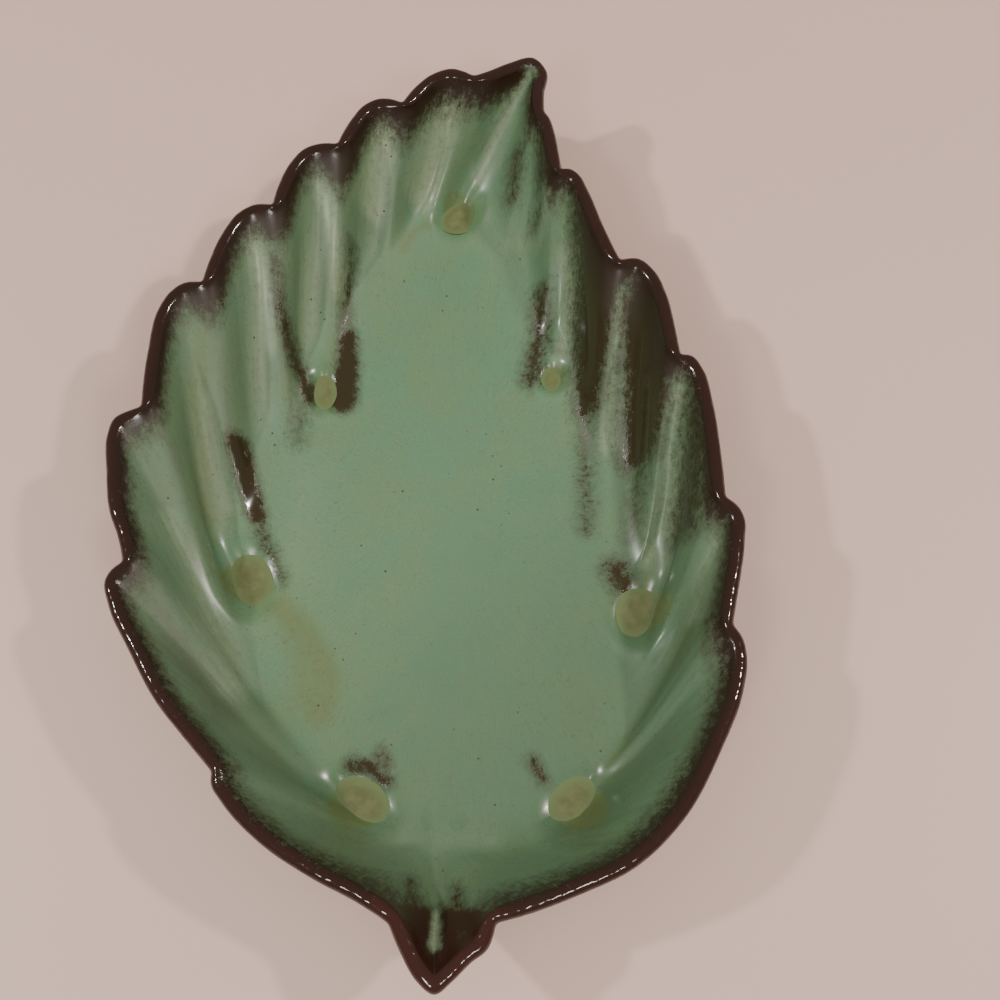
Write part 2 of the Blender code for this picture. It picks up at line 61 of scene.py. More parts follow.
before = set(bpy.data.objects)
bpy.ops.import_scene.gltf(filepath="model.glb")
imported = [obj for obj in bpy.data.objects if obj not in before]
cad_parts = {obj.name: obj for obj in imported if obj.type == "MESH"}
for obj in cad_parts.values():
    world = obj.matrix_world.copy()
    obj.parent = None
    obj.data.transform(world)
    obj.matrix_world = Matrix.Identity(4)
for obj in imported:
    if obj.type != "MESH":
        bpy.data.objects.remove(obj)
CAD_LOW, CAD_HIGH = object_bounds()

MM = 0.001
BODY = "root"

# Stations of the middle surface
FOOT_STATION = 1
RIM_STATION = 2

# Overall size, from the pieces of model.glb, and how far inside it the outline stays
WIDTH, LENGTH, HEIGHT = CAD_HIGH - CAD_LOW
MIDDLE = ((CAD_LOW + CAD_HIGH) / 2)[:2]
EDGE_SPARE = 0.05 * MM

# The shell and its coats: how deep a coat's hidden side sits in the clay, and the width of the rim's coat
CLAY_WALL = 3.4 * MM
GLAZE = 0.8 * MM
COAT_SINK = 0.1 * MM
RIM_BAND = 5.5 * MM

# The way the wall bends up from the floor, as shares of its way from the foot line to the rim
BEND_START_SHARE = 0.22
BEND_SOFTNESS_SHARE = 0.22
WALL_CURVE_POWER = 1.12

# The grooves and ridges
GROOVE_DEPTH = 3 * MM
RIDGE_POWER = 1.25
GROOVE_PLACE_POWER = 0.8
GROOVE_START_SHARE = 0.3

# Rounding of the outline where two teeth meet, of the wall below it and of the fold at the stem
NOTCH_ROUNDING = 0.9 * MM
INSET_ROUNDING = 0.8 * MM
INSET_STEPS = 10
NORMAL_ROUNDING = 1.8 * MM
WALL_ROUNDING = 7 * MM
FOOT_LINE_ROUNDING = 8 * MM
STEM_ROUNDING = 3 * MM
STEM_REACH = 13 * MM
STEM_FOLD_SHARE = 0.5

# How the columns leave the foot line, and where the full shape of the teeth and of the lip begins
FOOT_TURN_SHARE = 0.6
TEETH_START_SHARE = 0.45
NOSE_START_SHARE = 0.7

# Feet, and the hollows above them with their brims
FOOT_LIFT = 4 * MM
FOOT_MARGIN = 1.5 * MM
FOOT_SINK = 0.4 * MM
FOOT_FLAT_SHARE = 0.5
BARE_FOOT = 1.2 * MM
GLAZE_END = 0.6 * MM
POOL_HALF_ACROSS = 7 * MM
POOL_HALF_ALONG = 9 * MM
HOLLOW_DEPTH = 4.5 * MM
HOLLOW_SPREAD = 1.9
FOOT_SPARE = 2.6 * MM, 4.2 * MM
FOOT_SHIFT = 2.5 * MM
HOLLOW_SHIFT = -0.8 * MM
STEEP_START_SHARE = 0.14
BRIM_HEIGHT = 0.4 * MM
BRIM_PLACE_SHARE = 1.06
BRIM_WIDTH_SHARE = 0.16
BRIM_TURN_SHARE = 0.15
POOL_DROP = 1.5 * MM
POOL_REACH_SHARE = 0.76

# Mesh steps
DENSE_COLUMNS = 4096
FINE_STEP = 3
CLAY_STEP = 6
SLOPE_STEP = 0.002
POOL_RINGS = 14
POOL_SIDES = 72
SHARP_ANGLE = math.radians(60)

# Pinholes: how level the glaze is where one may lie, their shape, and the smallest next to the largest
LEVEL_SHARE = 0.6
PIT_SEGMENTS = 10
PIT_RINGS = 5
PIT_SCALE = 1, 1, 0.2
SMALLEST_PIT_SHARE = 0.35

# The lights: how far each is from the middle of the table, and its azimuth and elevation in degrees, its
# size in metres, the setting that holds its power and its colour
LIGHT_DISTANCE = 1.5
LIGHTS = {
    "left_light": (178, 49, 0.08, "side_power", (1, 0.97, 0.94)),
    "right_light": (8, 50, 0.08, "side_power", (1, 0.925, 0.85)),
    "near_left_light": (-118, 52, 0.2, "near_power", (1, 0.95, 0.9)),
    "near_right_light": (-62, 52, 0.2, "near_power", (1, 0.95, 0.9)),
    "ceiling_light": (-90, 80, 1.7, "ceiling_power", (1, 0.95, 0.9)),
}

# The place that the camera looks at, and the width of its sensor in millimetres
CAMERA_AIM = 23.87 * MM, -12.54 * MM, 45 * MM
SENSOR_WIDTH = 36

LIP_RADIUS = CLAY_WALL / 2 + GLAZE
COAT_SEAT = CLAY_WALL / 2 - COAT_SINK
FLOOR_MIDDLE = FOOT_LIFT + LIP_RADIUS
RIM_MIDDLE = HEIGHT - LIP_RADIUS

# The outline, tooth by tooth, counter-clockwise from the tip, in shares of the width and of the length.
# A tooth starts at a notch and climbs to its crest, where its groove leaves the rim. The foot shares
# tell where the ridge below the notch and the groove below the crest reach the foot line. depth_share
# tells how deep the groove is, next to the deepest one. brown holds how far in millimetres the brown
# band reaches from the edge, at the notch and at the crest.
Tooth = namedtuple(
    "Tooth", "rise_shares crest_share fall_shares ridge_foot_share groove_foot_share depth_share brown")

TEETH = {
    "tip": Tooth(
        ((0.200, 0.426), (0.200, 0.453), (0.206, 0.480)), (0.183, 0.500), ((0.134, 0.492), (0.102, 0.482)),
        (0.103, 0.330), (0.043, 0.363), 0.53, (8, 5)),
    "left_1": Tooth(
        ((0.075, 0.475), (0.056, 0.482)), (0.040, 0.485), ((0.003, 0.478), (-0.028, 0.460)),
        (0.010, 0.355), (-0.022, 0.341), 0.6, (10, 9)),
    "left_2": Tooth(
        ((-0.050, 0.438), (-0.066, 0.443)), (-0.089, 0.444), ((-0.117, 0.435), (-0.138, 0.416)),
        (-0.058, 0.312), (-0.100, 0.266), 0.67, (11, 8)),
    "left_3": Tooth(
        ((-0.160, 0.383), (-0.186, 0.384)), (-0.214, 0.378), ((-0.239, 0.359), (-0.256, 0.332)),
        (-0.146, 0.200), (-0.184, 0.137), 0.93, (15, 8)),
    "left_4": Tooth(
        ((-0.265, 0.304), (-0.292, 0.305)), (-0.320, 0.295), ((-0.344, 0.271), (-0.361, 0.241)),
        (-0.213, 0.088), (-0.240, 0.036), 0.87, (13, 8.5)),
    "left_5": Tooth(
        ((-0.372, 0.208), (-0.400, 0.208)), (-0.424, 0.196), ((-0.440, 0.176), (-0.450, 0.127)),
        (-0.269, -0.030), (-0.285, -0.087), 0.87, (13, 8)),
    "left_6": Tooth(
        ((-0.451, 0.063), (-0.472, 0.058), (-0.491, 0.051)), (-0.500, 0.032),
        ((-0.495, -0.007), (-0.482, -0.053), (-0.466, -0.077)),
        (-0.270, -0.150), (-0.228, -0.210), 0.2, (9, 8)),
    "left_7": Tooth(
        ((-0.454, -0.104), (-0.468, -0.110), (-0.478, -0.122)), (-0.469, -0.147),
        ((-0.432, -0.191), (-0.382, -0.243), (-0.340, -0.274)),
        (-0.160, -0.274), (-0.094, -0.320), 0.05, (8, 7)),
    "left_8": Tooth(
        ((-0.293, -0.307), (-0.294, -0.317)), (-0.277, -0.334),
        ((-0.218, -0.371), (-0.144, -0.401), (-0.073, -0.424)),
        (-0.060, -0.339), (-0.028, -0.355), 0.1, (6, 5.5)),
    "stem": Tooth(
        ((-0.033, -0.440), (-0.016, -0.464), (0.010, -0.490)), (0.032, -0.500),
        ((0.056, -0.489), (0.084, -0.472), (0.105, -0.462), (0.111, -0.454)),
        (0.010, -0.368), (0.026, -0.371), 0.12, (7, 8)),
    "right_6": Tooth(
        ((0.116, -0.440), (0.163, -0.432), (0.232, -0.416), (0.313, -0.392), (0.385, -0.349),
         (0.445, -0.284), (0.480, -0.232)), (0.489, -0.197), ((0.484, -0.179),),
        (0.046, -0.371), (0.234, -0.320), 0.33, (6, 8)),
    "right_5": Tooth(
        ((0.471, -0.167), (0.481, -0.138), (0.498, -0.081)), (0.500, -0.058), ((0.491, -0.045),),
        (0.287, -0.280), (0.321, -0.225), 0.53, (8, 7)),
    "right_4": Tooth(
        ((0.473, -0.036), (0.470, 0.015), (0.462, 0.070), (0.451, 0.104)), (0.431, 0.122), (),
        (0.340, -0.171), (0.347, -0.117), 1.0, (9, 7)),
    "right_3": Tooth(
        ((0.415, 0.122), (0.408, 0.157), (0.398, 0.192), (0.378, 0.223)), (0.354, 0.237), (),
        (0.325, -0.063), (0.293, -0.003), 0.93, (12, 8)),
    "right_2": Tooth(
        ((0.323, 0.235), (0.296, 0.279), (0.273, 0.322)), (0.255, 0.345), ((0.241, 0.351),),
        (0.256, 0.066), (0.209, 0.150), 0.87, (13, 7)),
    "right_1": Tooth(
        ((0.228, 0.349), (0.223, 0.375)), (0.215, 0.405), ((0.208, 0.419),),
        (0.178, 0.217), (0.143, 0.276), 0.6, (10, 6)),
}

# The pools, each at the foot of one tooth's groove: their sizes across and along the groove, next to the
# largest one's, and how far in millimetres each lies from that place to the right and to the tip
Pool = namedtuple("Pool", "tooth across_share along_share slide")

POOLS = {
    "tip_pool": Pool("tip", 0.89, 0.78, (0.3, 1.0)),
    "upper_left_pool": Pool("left_3", 0.54, 0.66, (-1.3, -1.7)),
    "middle_left_pool": Pool("left_5", 1.0, 1.0, (-3.4, -1.0)),
    "lower_left_pool": Pool("left_7", 1.0, 1.0, (-2.2, -2.7)),
    "lower_right_pool": Pool("right_6", 1.0, 1.0, (2.8, -3.0)),
    "middle_right_pool": Pool("right_4", 1.0, 0.89, (2.8, -2.7)),
    "upper_right_pool": Pool("right_2", 0.5, 0.5, (1.8, -1.0)),
}

# Where the glaze is glossy, broken to brown, green within the brown, olive, deeper in colour or milky. Some
# of the deeper strokes are painted shade and some of the milky ones are painted highlights. Each stroke is
# a line of places in shares of the width and of the length, its half widths at both ends and its softness
# in millimetres, and how strong it is.
STROKES = {
    "gloss": (
        (((-0.29, 0.25), (-0.262, 0.165)), (3, 3), 5, 1),
        (((-0.182, 0.335), (-0.165, 0.255)), (4, 4), 5, 0.9),
        (((-0.085, 0.4), (-0.105, 0.335)), (3, 3), 5, 0.7),
        (((0.03, 0.46), (-0.005, 0.375)), (5, 6), 5, 0.9),
        (((0.13, 0.455), (0.075, 0.38)), (3, 3), 4, 0.8),
        (((0.24, 0.245), (0.222, 0.17)), (6, 6), 5, 1),
        (((0.375, -0.03), (0.35, -0.1)), (5, 5), 4, 1),
    ),
    "brown": (
        (((-0.262, 0.25), (-0.256, 0.205), (-0.235, 0.16), (-0.208, 0.12)), (1.2, 2.6), 2.8, 0.85),
        (((-0.142, 0.3), (-0.15, 0.232), (-0.156, 0.19)), (1, 1.8), 2.6, 0.75),
        (((-0.148, 0.2), (-0.147, 0.164), (-0.154, 0.121)), (2.6, 4.8), 2.8, 1),
        (((-0.32, 0.054), (-0.306, 0.022), (-0.287, -0.019)), (3.2, 3), 2.4, 1),
        (((-0.287, -0.019), (-0.266, -0.055), (-0.241, -0.092)), (2.3, 1.7), 3, 0.7),
        (((-0.221, 0.118), (-0.226, 0.07)), (2.8, 2.1), 4.1, 0.55),
        (((0.152, 0.402), (0.143, 0.362)), (2.6, 2.2), 3.7, 0.65),
        (((0.188, 0.331), (0.185, 0.322)), (2.2, 1.8), 3.2, 0.55),
        (((0.194, 0.245), (0.192, 0.202), (0.177, 0.147)), (2.8, 3.5), 3.9, 0.8),
        (((0.26, 0.318), (0.288, 0.245)), (3.6, 7), 4, 0.9),
        (((0.292, 0.24), (0.282, 0.178), (0.271, 0.105)), (8, 4), 4.5, 0.95),
        (((0.271, 0.115), (0.269, 0.046), (0.265, -0.033)), (3.4, 2), 4, 0.62),
        (((0.372, 0.19), (0.368, 0.105), (0.354, 0.045)), (9.6, 5.4), 5, 0.95),
        (((0.359, 0.049), (0.35, -0.003), (0.34, -0.048)), (3, 2), 4, 0.6),
        (((0.44, 0.08), (0.432, 0), (0.418, -0.055)), (4.6, 3.2), 4.5, 0.75),
        (((0.314, -0.081), (0.33, -0.102)), (4.6, 3.9), 3.9, 0.75),
        (((-0.113, -0.287), (-0.085, -0.288), (-0.055, -0.303)), (2.4, 2), 2.5, 0.85),
        (((-0.067, -0.275), (-0.056, -0.284)), (1.9, 1.6), 2.6, 0.7),
        (((0.173, -0.282), (0.19, -0.301)), (1.9, 1.6), 2.5, 0.75),
        (((-0.01, -0.402), (-0.006, -0.42)), (1.6, 3.4), 2.6, 0.62),
        (((0.058, -0.408), (0.06, -0.424)), (1.4, 3), 2.6, 0.62),
        (((0.032, -0.483), (0.03, -0.448)), (7.1, 7.5), 2.4, 1),
        (((0.075, -0.46), (0.096, -0.451)), (4, 4), 2.4, 1),
        (((-0.052, -0.433), (0.03, -0.436), (0.114, -0.441)), (3.6, 3.6), 2.2, 1),
        (((0.084, 0.46), (0.148, 0.476), (0.178, 0.464)), (4.4, 3.7), 3.3, 0.9),
        (((0.195, 0.447), (0.205, 0.353)), (2.8, 3.2), 2.8, 0.9),
    ),
    "bare": (
        (((0.029, -0.41), (0.029, -0.428)), (0.6, 1), 1.5, 0.55),
        (((0.029, -0.428), (0.03, -0.458)), (1.2, 2.1), 1.3, 1),
        (((0.176, 0.474), (0.12, 0.442), (0.082, 0.398)), (1.3, 4), 2, 0.95),
    ),
    "olive": (
        (((-0.371, 0.155), (-0.382, 0.093), (-0.372, 0.034), (-0.359, -0.028)), (2.7, 2.7), 3.4, 0.8),
        (((-0.24, 0.164), (-0.241, 0.113), (-0.238, 0.072)), (2.4, 2.1), 3.1, 0.55),
        (((-0.238, -0.122), (-0.192, -0.155), (-0.158, -0.197), (-0.168, -0.232)), (4.4, 5.4), 3.4, 0.9),
        (((-0.232, -0.13), (-0.2, -0.172), (-0.188, -0.22)), (4, 7), 6, 0.7),
        (((0.428, -0.156), (0.373, -0.214), (0.309, -0.271), (0.279, -0.296)), (2.2, 2.2), 3.1, 0.5),
        (((-0.055, 0.313), (-0.04, 0.334), (-0.003, 0.349)), (1.8, 1.8), 2.2, 0.8),
        (((-0.155, 0.241), (-0.17, 0.181), (-0.182, 0.156)), (2.5, 2.8), 2.8, 0.6),
        (((0.26, -0.122), (0.229, -0.196), (0.267, -0.262)), (7.1, 5.8), 8, 0.35),
        (((0.029, 0.335), (0.015, 0.248), (-0.093, 0.185)), (6.5, 6.5), 9, 0.3),
        (((0.379, -0.07), (0.355, -0.102)), (3, 3), 3.3, 0.6),
    ),
    "deep": (
        (((-0.41, 0.033), (-0.378, -0.041), (-0.321, -0.115)), (2.4, 1.8), 3.3, 0.55),
        (((-0.41, -0.149), (-0.333, -0.248), (-0.24, -0.322), (-0.124, -0.375)), (10, 7), 7.5, 0.15),
        # Painted shade: this stroke darkens a band low on the left wall
        (((-0.425, -0.125), (-0.385, -0.16), (-0.346, -0.202), (-0.301, -0.244)), (6, 5), 5, 0.7),
        (((-0.45, 0.03), (-0.43, -0.01), (-0.41, -0.035)), (2.5, 2.5), 4, 0.45),
        (((0.437, -0.115), (0.434, -0.16), (0.432, -0.205)), (3, 3), 4, 0.8),
        (((0.029, -0.375), (0.029, -0.405)), (2, 2), 4, 0.5),
        (((0.462, -0.083), (0.434, -0.131)), (3.7, 3.1), 3.7, 0.5),
        (((0.338, 0.065), (0.325, -0.023)), (3.4, 2.7), 4, 0.45),
        (((0.082, 0.341), (0.158, 0.297)), (2.9, 2.9), 5.1, 0.35),
        (((-0.312, -0.067), (-0.305, -0.113)), (1.4, 1.4), 2.7, 0.5),
        # Painted shade: the next two strokes darken the right wall low down
        (((0.44, -0.12), (0.39, -0.24), (0.25, -0.36)), (12, 9), 9, 0.55),
        (((0.44, -0.01), (0.41, -0.11)), (7, 8), 7, 0.5),
    ),
    "pale_and_highlight": (
        # Painted highlights over milky glaze: the strokes in the grooves at the top of the dish, where the
        # gloss strokes lie
        (((-0.294, 0.266), (-0.284, 0.211), (-0.277, 0.167)), (3.1, 2.8), 3.5, 0.8),
        (((-0.186, 0.337), (-0.168, 0.294), (-0.161, 0.248)), (3.2, 2.8), 3.6, 0.8),
        (((-0.08, 0.41), (-0.107, 0.345)), (4, 3.6), 4, 1),
        (((0.032, 0.457), (0.004, 0.418), (-0.019, 0.375)), (5, 4.6), 4.6, 0.95),
        (((0.164, 0.476), (0.12, 0.442), (0.082, 0.398)), (1.9, 2.2), 2.6, 0.8),
        (((0.204, 0.336), (0.192, 0.298)), (2.1, 2.1), 3.2, 0.6),
        (((0.237, 0.274), (0.244, 0.222), (0.225, 0.168)), (2.8, 2.8), 3.2, 0.8),
        (((0.327, 0.198), (0.318, 0.138), (0.303, 0.06)), (2.7, 2.4), 3, 0.8),
        (((0.413, 0.085), (0.394, 0.02), (0.365, -0.072)), (2.6, 2.6), 3.3, 0.7),
        (((0.456, -0.081), (0.422, -0.148)), (2.5, 2.5), 3.1, 0.6),
        (((-0.373, 0.097), (-0.358, 0.058), (-0.345, 0.017), (-0.335, -0.014)), (2, 3), 3.5, 0.7),
        (((-0.406, -0.045), (-0.374, -0.084), (-0.342, -0.145), (-0.29, -0.21)), (2.5, 5), 5, 0.7),
        (((-0.21, 0.03), (-0.215, -0.08)), (11, 11), 14, 0.35),
        (((-0.06, -0.362), (0.11, -0.362)), (5, 5), 7, 0.4),
        (((0.029, -0.436), (0.03, -0.459)), (2, 2.5), 1.5, 1),
    ),
}

# The fields of the layout, in the order in which the meshes hold them
FIELDS = "brown", "olive", "deep", "pale_and_highlight", "gloss"

# How the fields lie without strokes: at the rim, on ridges, in grooves, at the stem and round the pools
RIM_SOFTNESS = 6 * MM
RIDGE_DEEP = 1.1
GROOVE_PALE = 0.55
RUDDY_REACH = 20 * MM
STEM_RUDDY_SHARE = -0.345
STEM_RUDDY = 1.7
STAIN_SPREAD = 1.12
STAIN_NARROWING = 0.2
STAIN_SHIFT = 1.2 * MM
STAIN_SOFTNESS_SHARE = 0.3
GLOSS_REACH_SHARE = 1.15
GLOSS_SOFTNESS_SHARE = 0.45

# Noises of the glaze, with their scale, detail and roughness, and how the flow draws two of them out
NOISE_MIDDLE = 0.5
HAIR = 1100, 3.0, 0.6
STREAK = 260, 3.0, 0.55
MOTTLE = 420, 4.0, 0.65
CLOUD = 60, 3.0, 0.5
GRAIN = 1900, 3.0, 0.7
LUMP = 330, 1.0, 0.4
HAIR_STRETCH = 1, 1, 0.4
STREAK_STRETCH = 1, 1, 0.12

# Noises of the clay, the pools, the pinholes and the table
GRIT = 1400, 4.0, 0.7
CLAY_CLOUD = 90, 3.0, 0.5
POOL_CLOUD = 260, 4.0, 0.6
SPECK = 1500, 2.0, 0.5
PIT_GRIT = 4000, 2.0, 0.5
TABLE_CLOUD = 6, 3.0, 0.5

# Where one look passes into the next, from the start to the end of the change
CLOUD_EDGE = 0.3, 0.7
MOTTLE_EDGE = 0.35, 0.75
GRIT_EDGE = 0.6, 0.75
POOL_EDGE = 0.35, 0.7
SPECK_EDGE = 0.7, 0.78
BROKEN_EDGE = 0.36, 0.78
DUSK_EDGE = -0.1, 0.6
STEM_EDGE = 1.0, 1.6
LAID_EDGE = 0.1, 0.9
FAR_EDGE = -10 * MM, 120 * MM
FLOOR_EDGE = 10 * MM, 20 * MM
RIGHT_EDGE = -20 * MM, 50 * MM
OUTER_EDGE = -2 * MM, 5 * MM
LUMP_EDGE = 1 * MM, 5 * MM
COLLAR_START = 2 * MM, 8 * MM
COLLAR_END = 14 * MM, 22 * MM

# How strongly each noise bends the edge of the brown, the runs and, in millimetres, the painted shade at
# the far end, darker towards the right and the stem, and how the edge of that shade slants
GRAIN_RAG = 0.7
MOTTLE_RAG = 0.9
HAIR_RAG = 0.5
DRAG = 0.55
FAR_SLANT = 0.8
FAR_CLOUD = 40

# How strongly each colour shows, and the depth in millimetres from which a pool has its own colour
MOTTLE_SHARE = 0.2
# The far shares give the strength of the painted shade towards the right and the stem, on the wall and on
# the floor
FAR_WALL_SHARE = 0.05
FAR_FLOOR_SHARE = 0.45
GREY_SHARE = 0.45
GREY_FADE_SHARE = 0.6
# The deep and pale shares also give the strength of the painted shade and the painted highlights in those
# fields
DEEP_SHARE = 0.8
OLIVE_SHARE = 0.75
PALE_SHARE = 0.75
DUSK_SHARE = 0.75
OUTER_RED = 0.65
CLOUD_RED = 0.5
MOTTLE_RED = 0.4
STEM_RED = 0.8
GRAIN_SHARE = 0.22
GRIT_SHARE = 0.5
SPECK_SHARE = 0.7
SHORE_SHARE = 0.2
SHORE_CLOUD = 1.2
SHORE_DEPTH = 1.5
TABLE_SHADE = 0.95

# Roughness of each surface, and the relief that only the light shows
SATIN = 0.58
GLOSS_CUT = 0.36
MOTTLE_ROUGH = 0.06
BROWN_ROUGH = 0.1
COLLAR_ROUGH = 0.3
CLAY_ROUGH = 0.85
POOL_ROUGH = 0.3
PIT_ROUGH = 0.45
TABLE_ROUGH = 0.5
LUMP_HEIGHT = 2.5
GREEN_HEIGHT = 0.25
CLOUD_HEIGHT = 0.8
GRAIN_HEIGHT = 0.06
GLASS_BUMP = 0.12 * MM
CLAY_BUMP = 0.15 * MM
GLASS_IOR = 1.5


def tangents(stations, points, closed):
    """Slope of a smooth curve through the points, at each of them."""
    if closed:
        turn = stations[-1]
        stations = np.concatenate(([stations[-2] - turn], stations, [stations[1] + turn]))
        points = np.vstack((points[-2], points, points[1]))
    steps = np.diff(stations)[:, None]
    slopes = np.diff(points, axis=0) / steps
    middle = (slopes[:-1] * steps[1:] + slopes[1:] * steps[:-1]) / (steps[:-1] + steps[1:])
    if closed:
        return middle
    first = 2 * slopes[:1] - middle[:1]
    last = 2 * slopes[-1:] - middle[-1:]
    return np.vstack((first, middle, last))


def curve_through(stations, points, wanted, closed=False):
    """Points at the wanted stations on a smooth curve through the given ones."""
    slopes = tangents(stations, points, closed)
    index = np.clip(np.searchsorted(stations, wanted, side="right") - 1, 0, len(stations) - 2)
    step = (stations[index + 1] - stations[index])[:, None]
    part = (wanted - stations[index])[:, None] / step
    return ((1 + 2 * part) * (1 - part) ** 2 * points[index]
            + part * (1 - part) ** 2 * step * slopes[index]
            + part ** 2 * (3 - 2 * part) * points[index + 1]
            + part ** 2 * (part - 1) * step * slopes[index + 1])


def run_length(points):
    """Distance along a row of points, from the first one."""
    return np.concatenate(([0], np.cumsum(np.linalg.norm(np.diff(points, axis=0), axis=1))))


def smoothstep(value):
    """Zero up to 0, one from 1, with a soft start and end."""
    value = np.clip(value, 0, 1)
    return value * value * (3 - 2 * value)


def blurred(loop, spread, pitch):
    """A closed loop of values, rounded off over a length on each side."""
    turns = np.fft.fftfreq(len(loop), d=pitch)
    weights = np.exp(-2 * (math.pi * turns * spread) ** 2)
    if loop.ndim == 2:
        weights = weights[:, None]
    return np.real(np.fft.ifft(np.fft.fft(loop, axis=0) * weights, axis=0))


def outward(loop):
    """Unit vectors that point out of a counter-clockwise loop."""
    along = np.roll(loop, -1, axis=0) - np.roll(loop, 1, axis=0)
    normals = np.column_stack((along[:, 1], -along[:, 0]))
    return normals / np.linalg.norm(normals, axis=1)[:, None]


def hollow_size(hollow):
    """How deep a hollow is next to the deepest one: small ones are less deep."""
    _, _, half_across, _ = hollow
    return math.sqrt(half_across / (POOL_HALF_ACROSS * HOLLOW_SPREAD))


class Leaf:
    """The middle surface of the dish, on closely spaced columns that run from the rim to the floor."""

    def __init__(self):
        scale = np.array((WIDTH, LENGTH))
        rows = []
        marks = []
        for index, tooth in enumerate(TEETH.values()):
            following = list(TEETH.values())[(index + 1) % len(TEETH)]
            shares = (*tooth.rise_shares, tooth.crest_share, *tooth.fall_shares, following.rise_shares[0])
            points = np.array(shares) * scale
            stations = run_length(points)
            fine = curve_through(stations, points, np.linspace(0, stations[-1], DENSE_COLUMNS))
            crest = len(tooth.rise_shares)
            marks.append((len(rows) * (DENSE_COLUMNS - 1), stations[crest] / stations[-1]))
            rows.append(fine[:-1])
        path = np.vstack(rows + [rows[0][:1]])
        lengths = run_length(path)
        self.rim_length = lengths[-1]
        self.pitch = self.rim_length / DENSE_COLUMNS
        self.arc = np.arange(DENSE_COLUMNS) * self.pitch
        self.notches = [lengths[start] for start, _ in marks]
        self.crests = [lengths[start + round(part * (DENSE_COLUMNS - 1))] for start, part in marks]
        even = np.column_stack([np.interp(self.arc, lengths, path[:, axis]) for axis in range(2)])
        edge = blurred(even, NOTCH_ROUNDING, self.pitch)
        low = edge.min(axis=0)
        high = edge.max(axis=0)
        edge = (edge - (low + high) / 2) * (scale - 2 * EDGE_SPARE) / (high - low) + MIDDLE

        self.rim = edge
        for _ in range(INSET_STEPS):
            inward = self.rim - outward(self.rim) * (LIP_RADIUS / INSET_STEPS)
            self.rim = blurred(inward, INSET_ROUNDING, self.pitch)
        self.soft_rim = blurred(self.rim, WALL_ROUNDING, self.pitch)
        self.nose = edge - self.rim - LIP_RADIUS * self.soft_outward(self.rim)

        keys = []
        feet = []
        for tooth, notch, crest in zip(TEETH.values(), self.notches, self.crests):
            keys += [notch, crest]
            feet += [tooth.ridge_foot_share, tooth.groove_foot_share]
        self.keys = np.array(keys + [keys[0] + self.rim_length])
        feet = np.array(feet + [feet[0]]) * scale
        foot_marks = run_length(feet)
        drift = np.interp(self.arc, self.keys, foot_marks) - self.arc * foot_marks[-1] / self.rim_length
        drift = blurred(drift, FOOT_LINE_ROUNDING, self.pitch)
        wanted = (self.arc * foot_marks[-1] / self.rim_length + drift) % foot_marks[-1]
        foot = curve_through(foot_marks, feet, wanted, closed=True)
        self.foot = blurred(foot, FOOT_LINE_ROUNDING, self.pitch)
        self.foot_out = outward(self.foot)
        self.middle = (self.foot.min(axis=0) + self.foot.max(axis=0)) / 2
        self.span = np.linalg.norm(self.soft_rim - self.foot, axis=1)
        self.reach = np.linalg.norm(self.foot - self.middle, axis=1)
        self.wave = self.groove_wave()
        pools = POOLS.values()
        self.hollows = [self.spot(pool, HOLLOW_SHIFT, HOLLOW_SPREAD, slide=pool.slide) for pool in pools]
        self.feet = [self.spot(pool, FOOT_SHIFT, 1, FOOT_SPARE) for pool in pools]
        self.stains = [self.spot(pool, -STAIN_SHIFT, STAIN_SPREAD, slide=pool.slide) for pool in pools]
        stem = self.crests[list(TEETH).index("stem")]
        away = np.abs(self.arc - stem)
        away = np.minimum(away, self.rim_length - away)
        self.near_stem = 1 - smoothstep(away / STEM_REACH)
        self.brown_reach = self.brown_band()

    def soft_outward(self, loop):
        """Outward unit vectors of a loop, rounded off where it turns sharply."""
        vectors = blurred(outward(loop), NORMAL_ROUNDING, self.pitch)
        return vectors / np.linalg.norm(vectors, axis=1)[:, None]

    def half_teeth(self, at_notches):
        """Each half of each tooth: the tooth's number, the value at the half's notch, which columns are in
        it, and how far each of them is from the notch to the crest."""
        for index in range(len(TEETH)):
            start, crest, end = self.keys[2 * index: 2 * index + 3]
            for notch, value in ((start, at_notches[index]), (end, at_notches[(index + 1) % len(TEETH)])):
                part = (self.arc - notch) / (crest - notch)
                inside = (part >= 0) & (part <= 1)
                yield index, value, inside, part[inside]

    def groove_wave(self):
        """How far each column lies above the plain loft halfway down: ridges above, grooves below."""
        depths = [GROOVE_DEPTH * tooth.depth_share for tooth in TEETH.values()]
        ridges = [(depths[index - 1] + depth) / 2 for index, depth in enumerate(depths)]
        wave = np.zeros(DENSE_COLUMNS)
        for index, ridge, inside, part in self.half_teeth(ridges):
            fall = (1 - smoothstep(part)) ** RIDGE_POWER
            wave[inside] = fall * (ridge / 2 + depths[index]) - depths[index]
        return wave

    def brown_band(self):
        """How far the brown of the rim reaches down each column, furthest below a notch."""
        widths = [tooth.brown for tooth in TEETH.values()]
        band = np.zeros(DENSE_COLUMNS)
        for index, notch, inside, part in self.half_teeth([width[0] for width in widths]):
            crest = widths[index][1]
            band[inside] = (crest + (notch - crest) * (1 - part) ** 2) * MM
        return band

    def column_at(self, length):
        """Index of the column at a distance along the rim."""
        return int(round(length / self.pitch)) % DENSE_COLUMNS

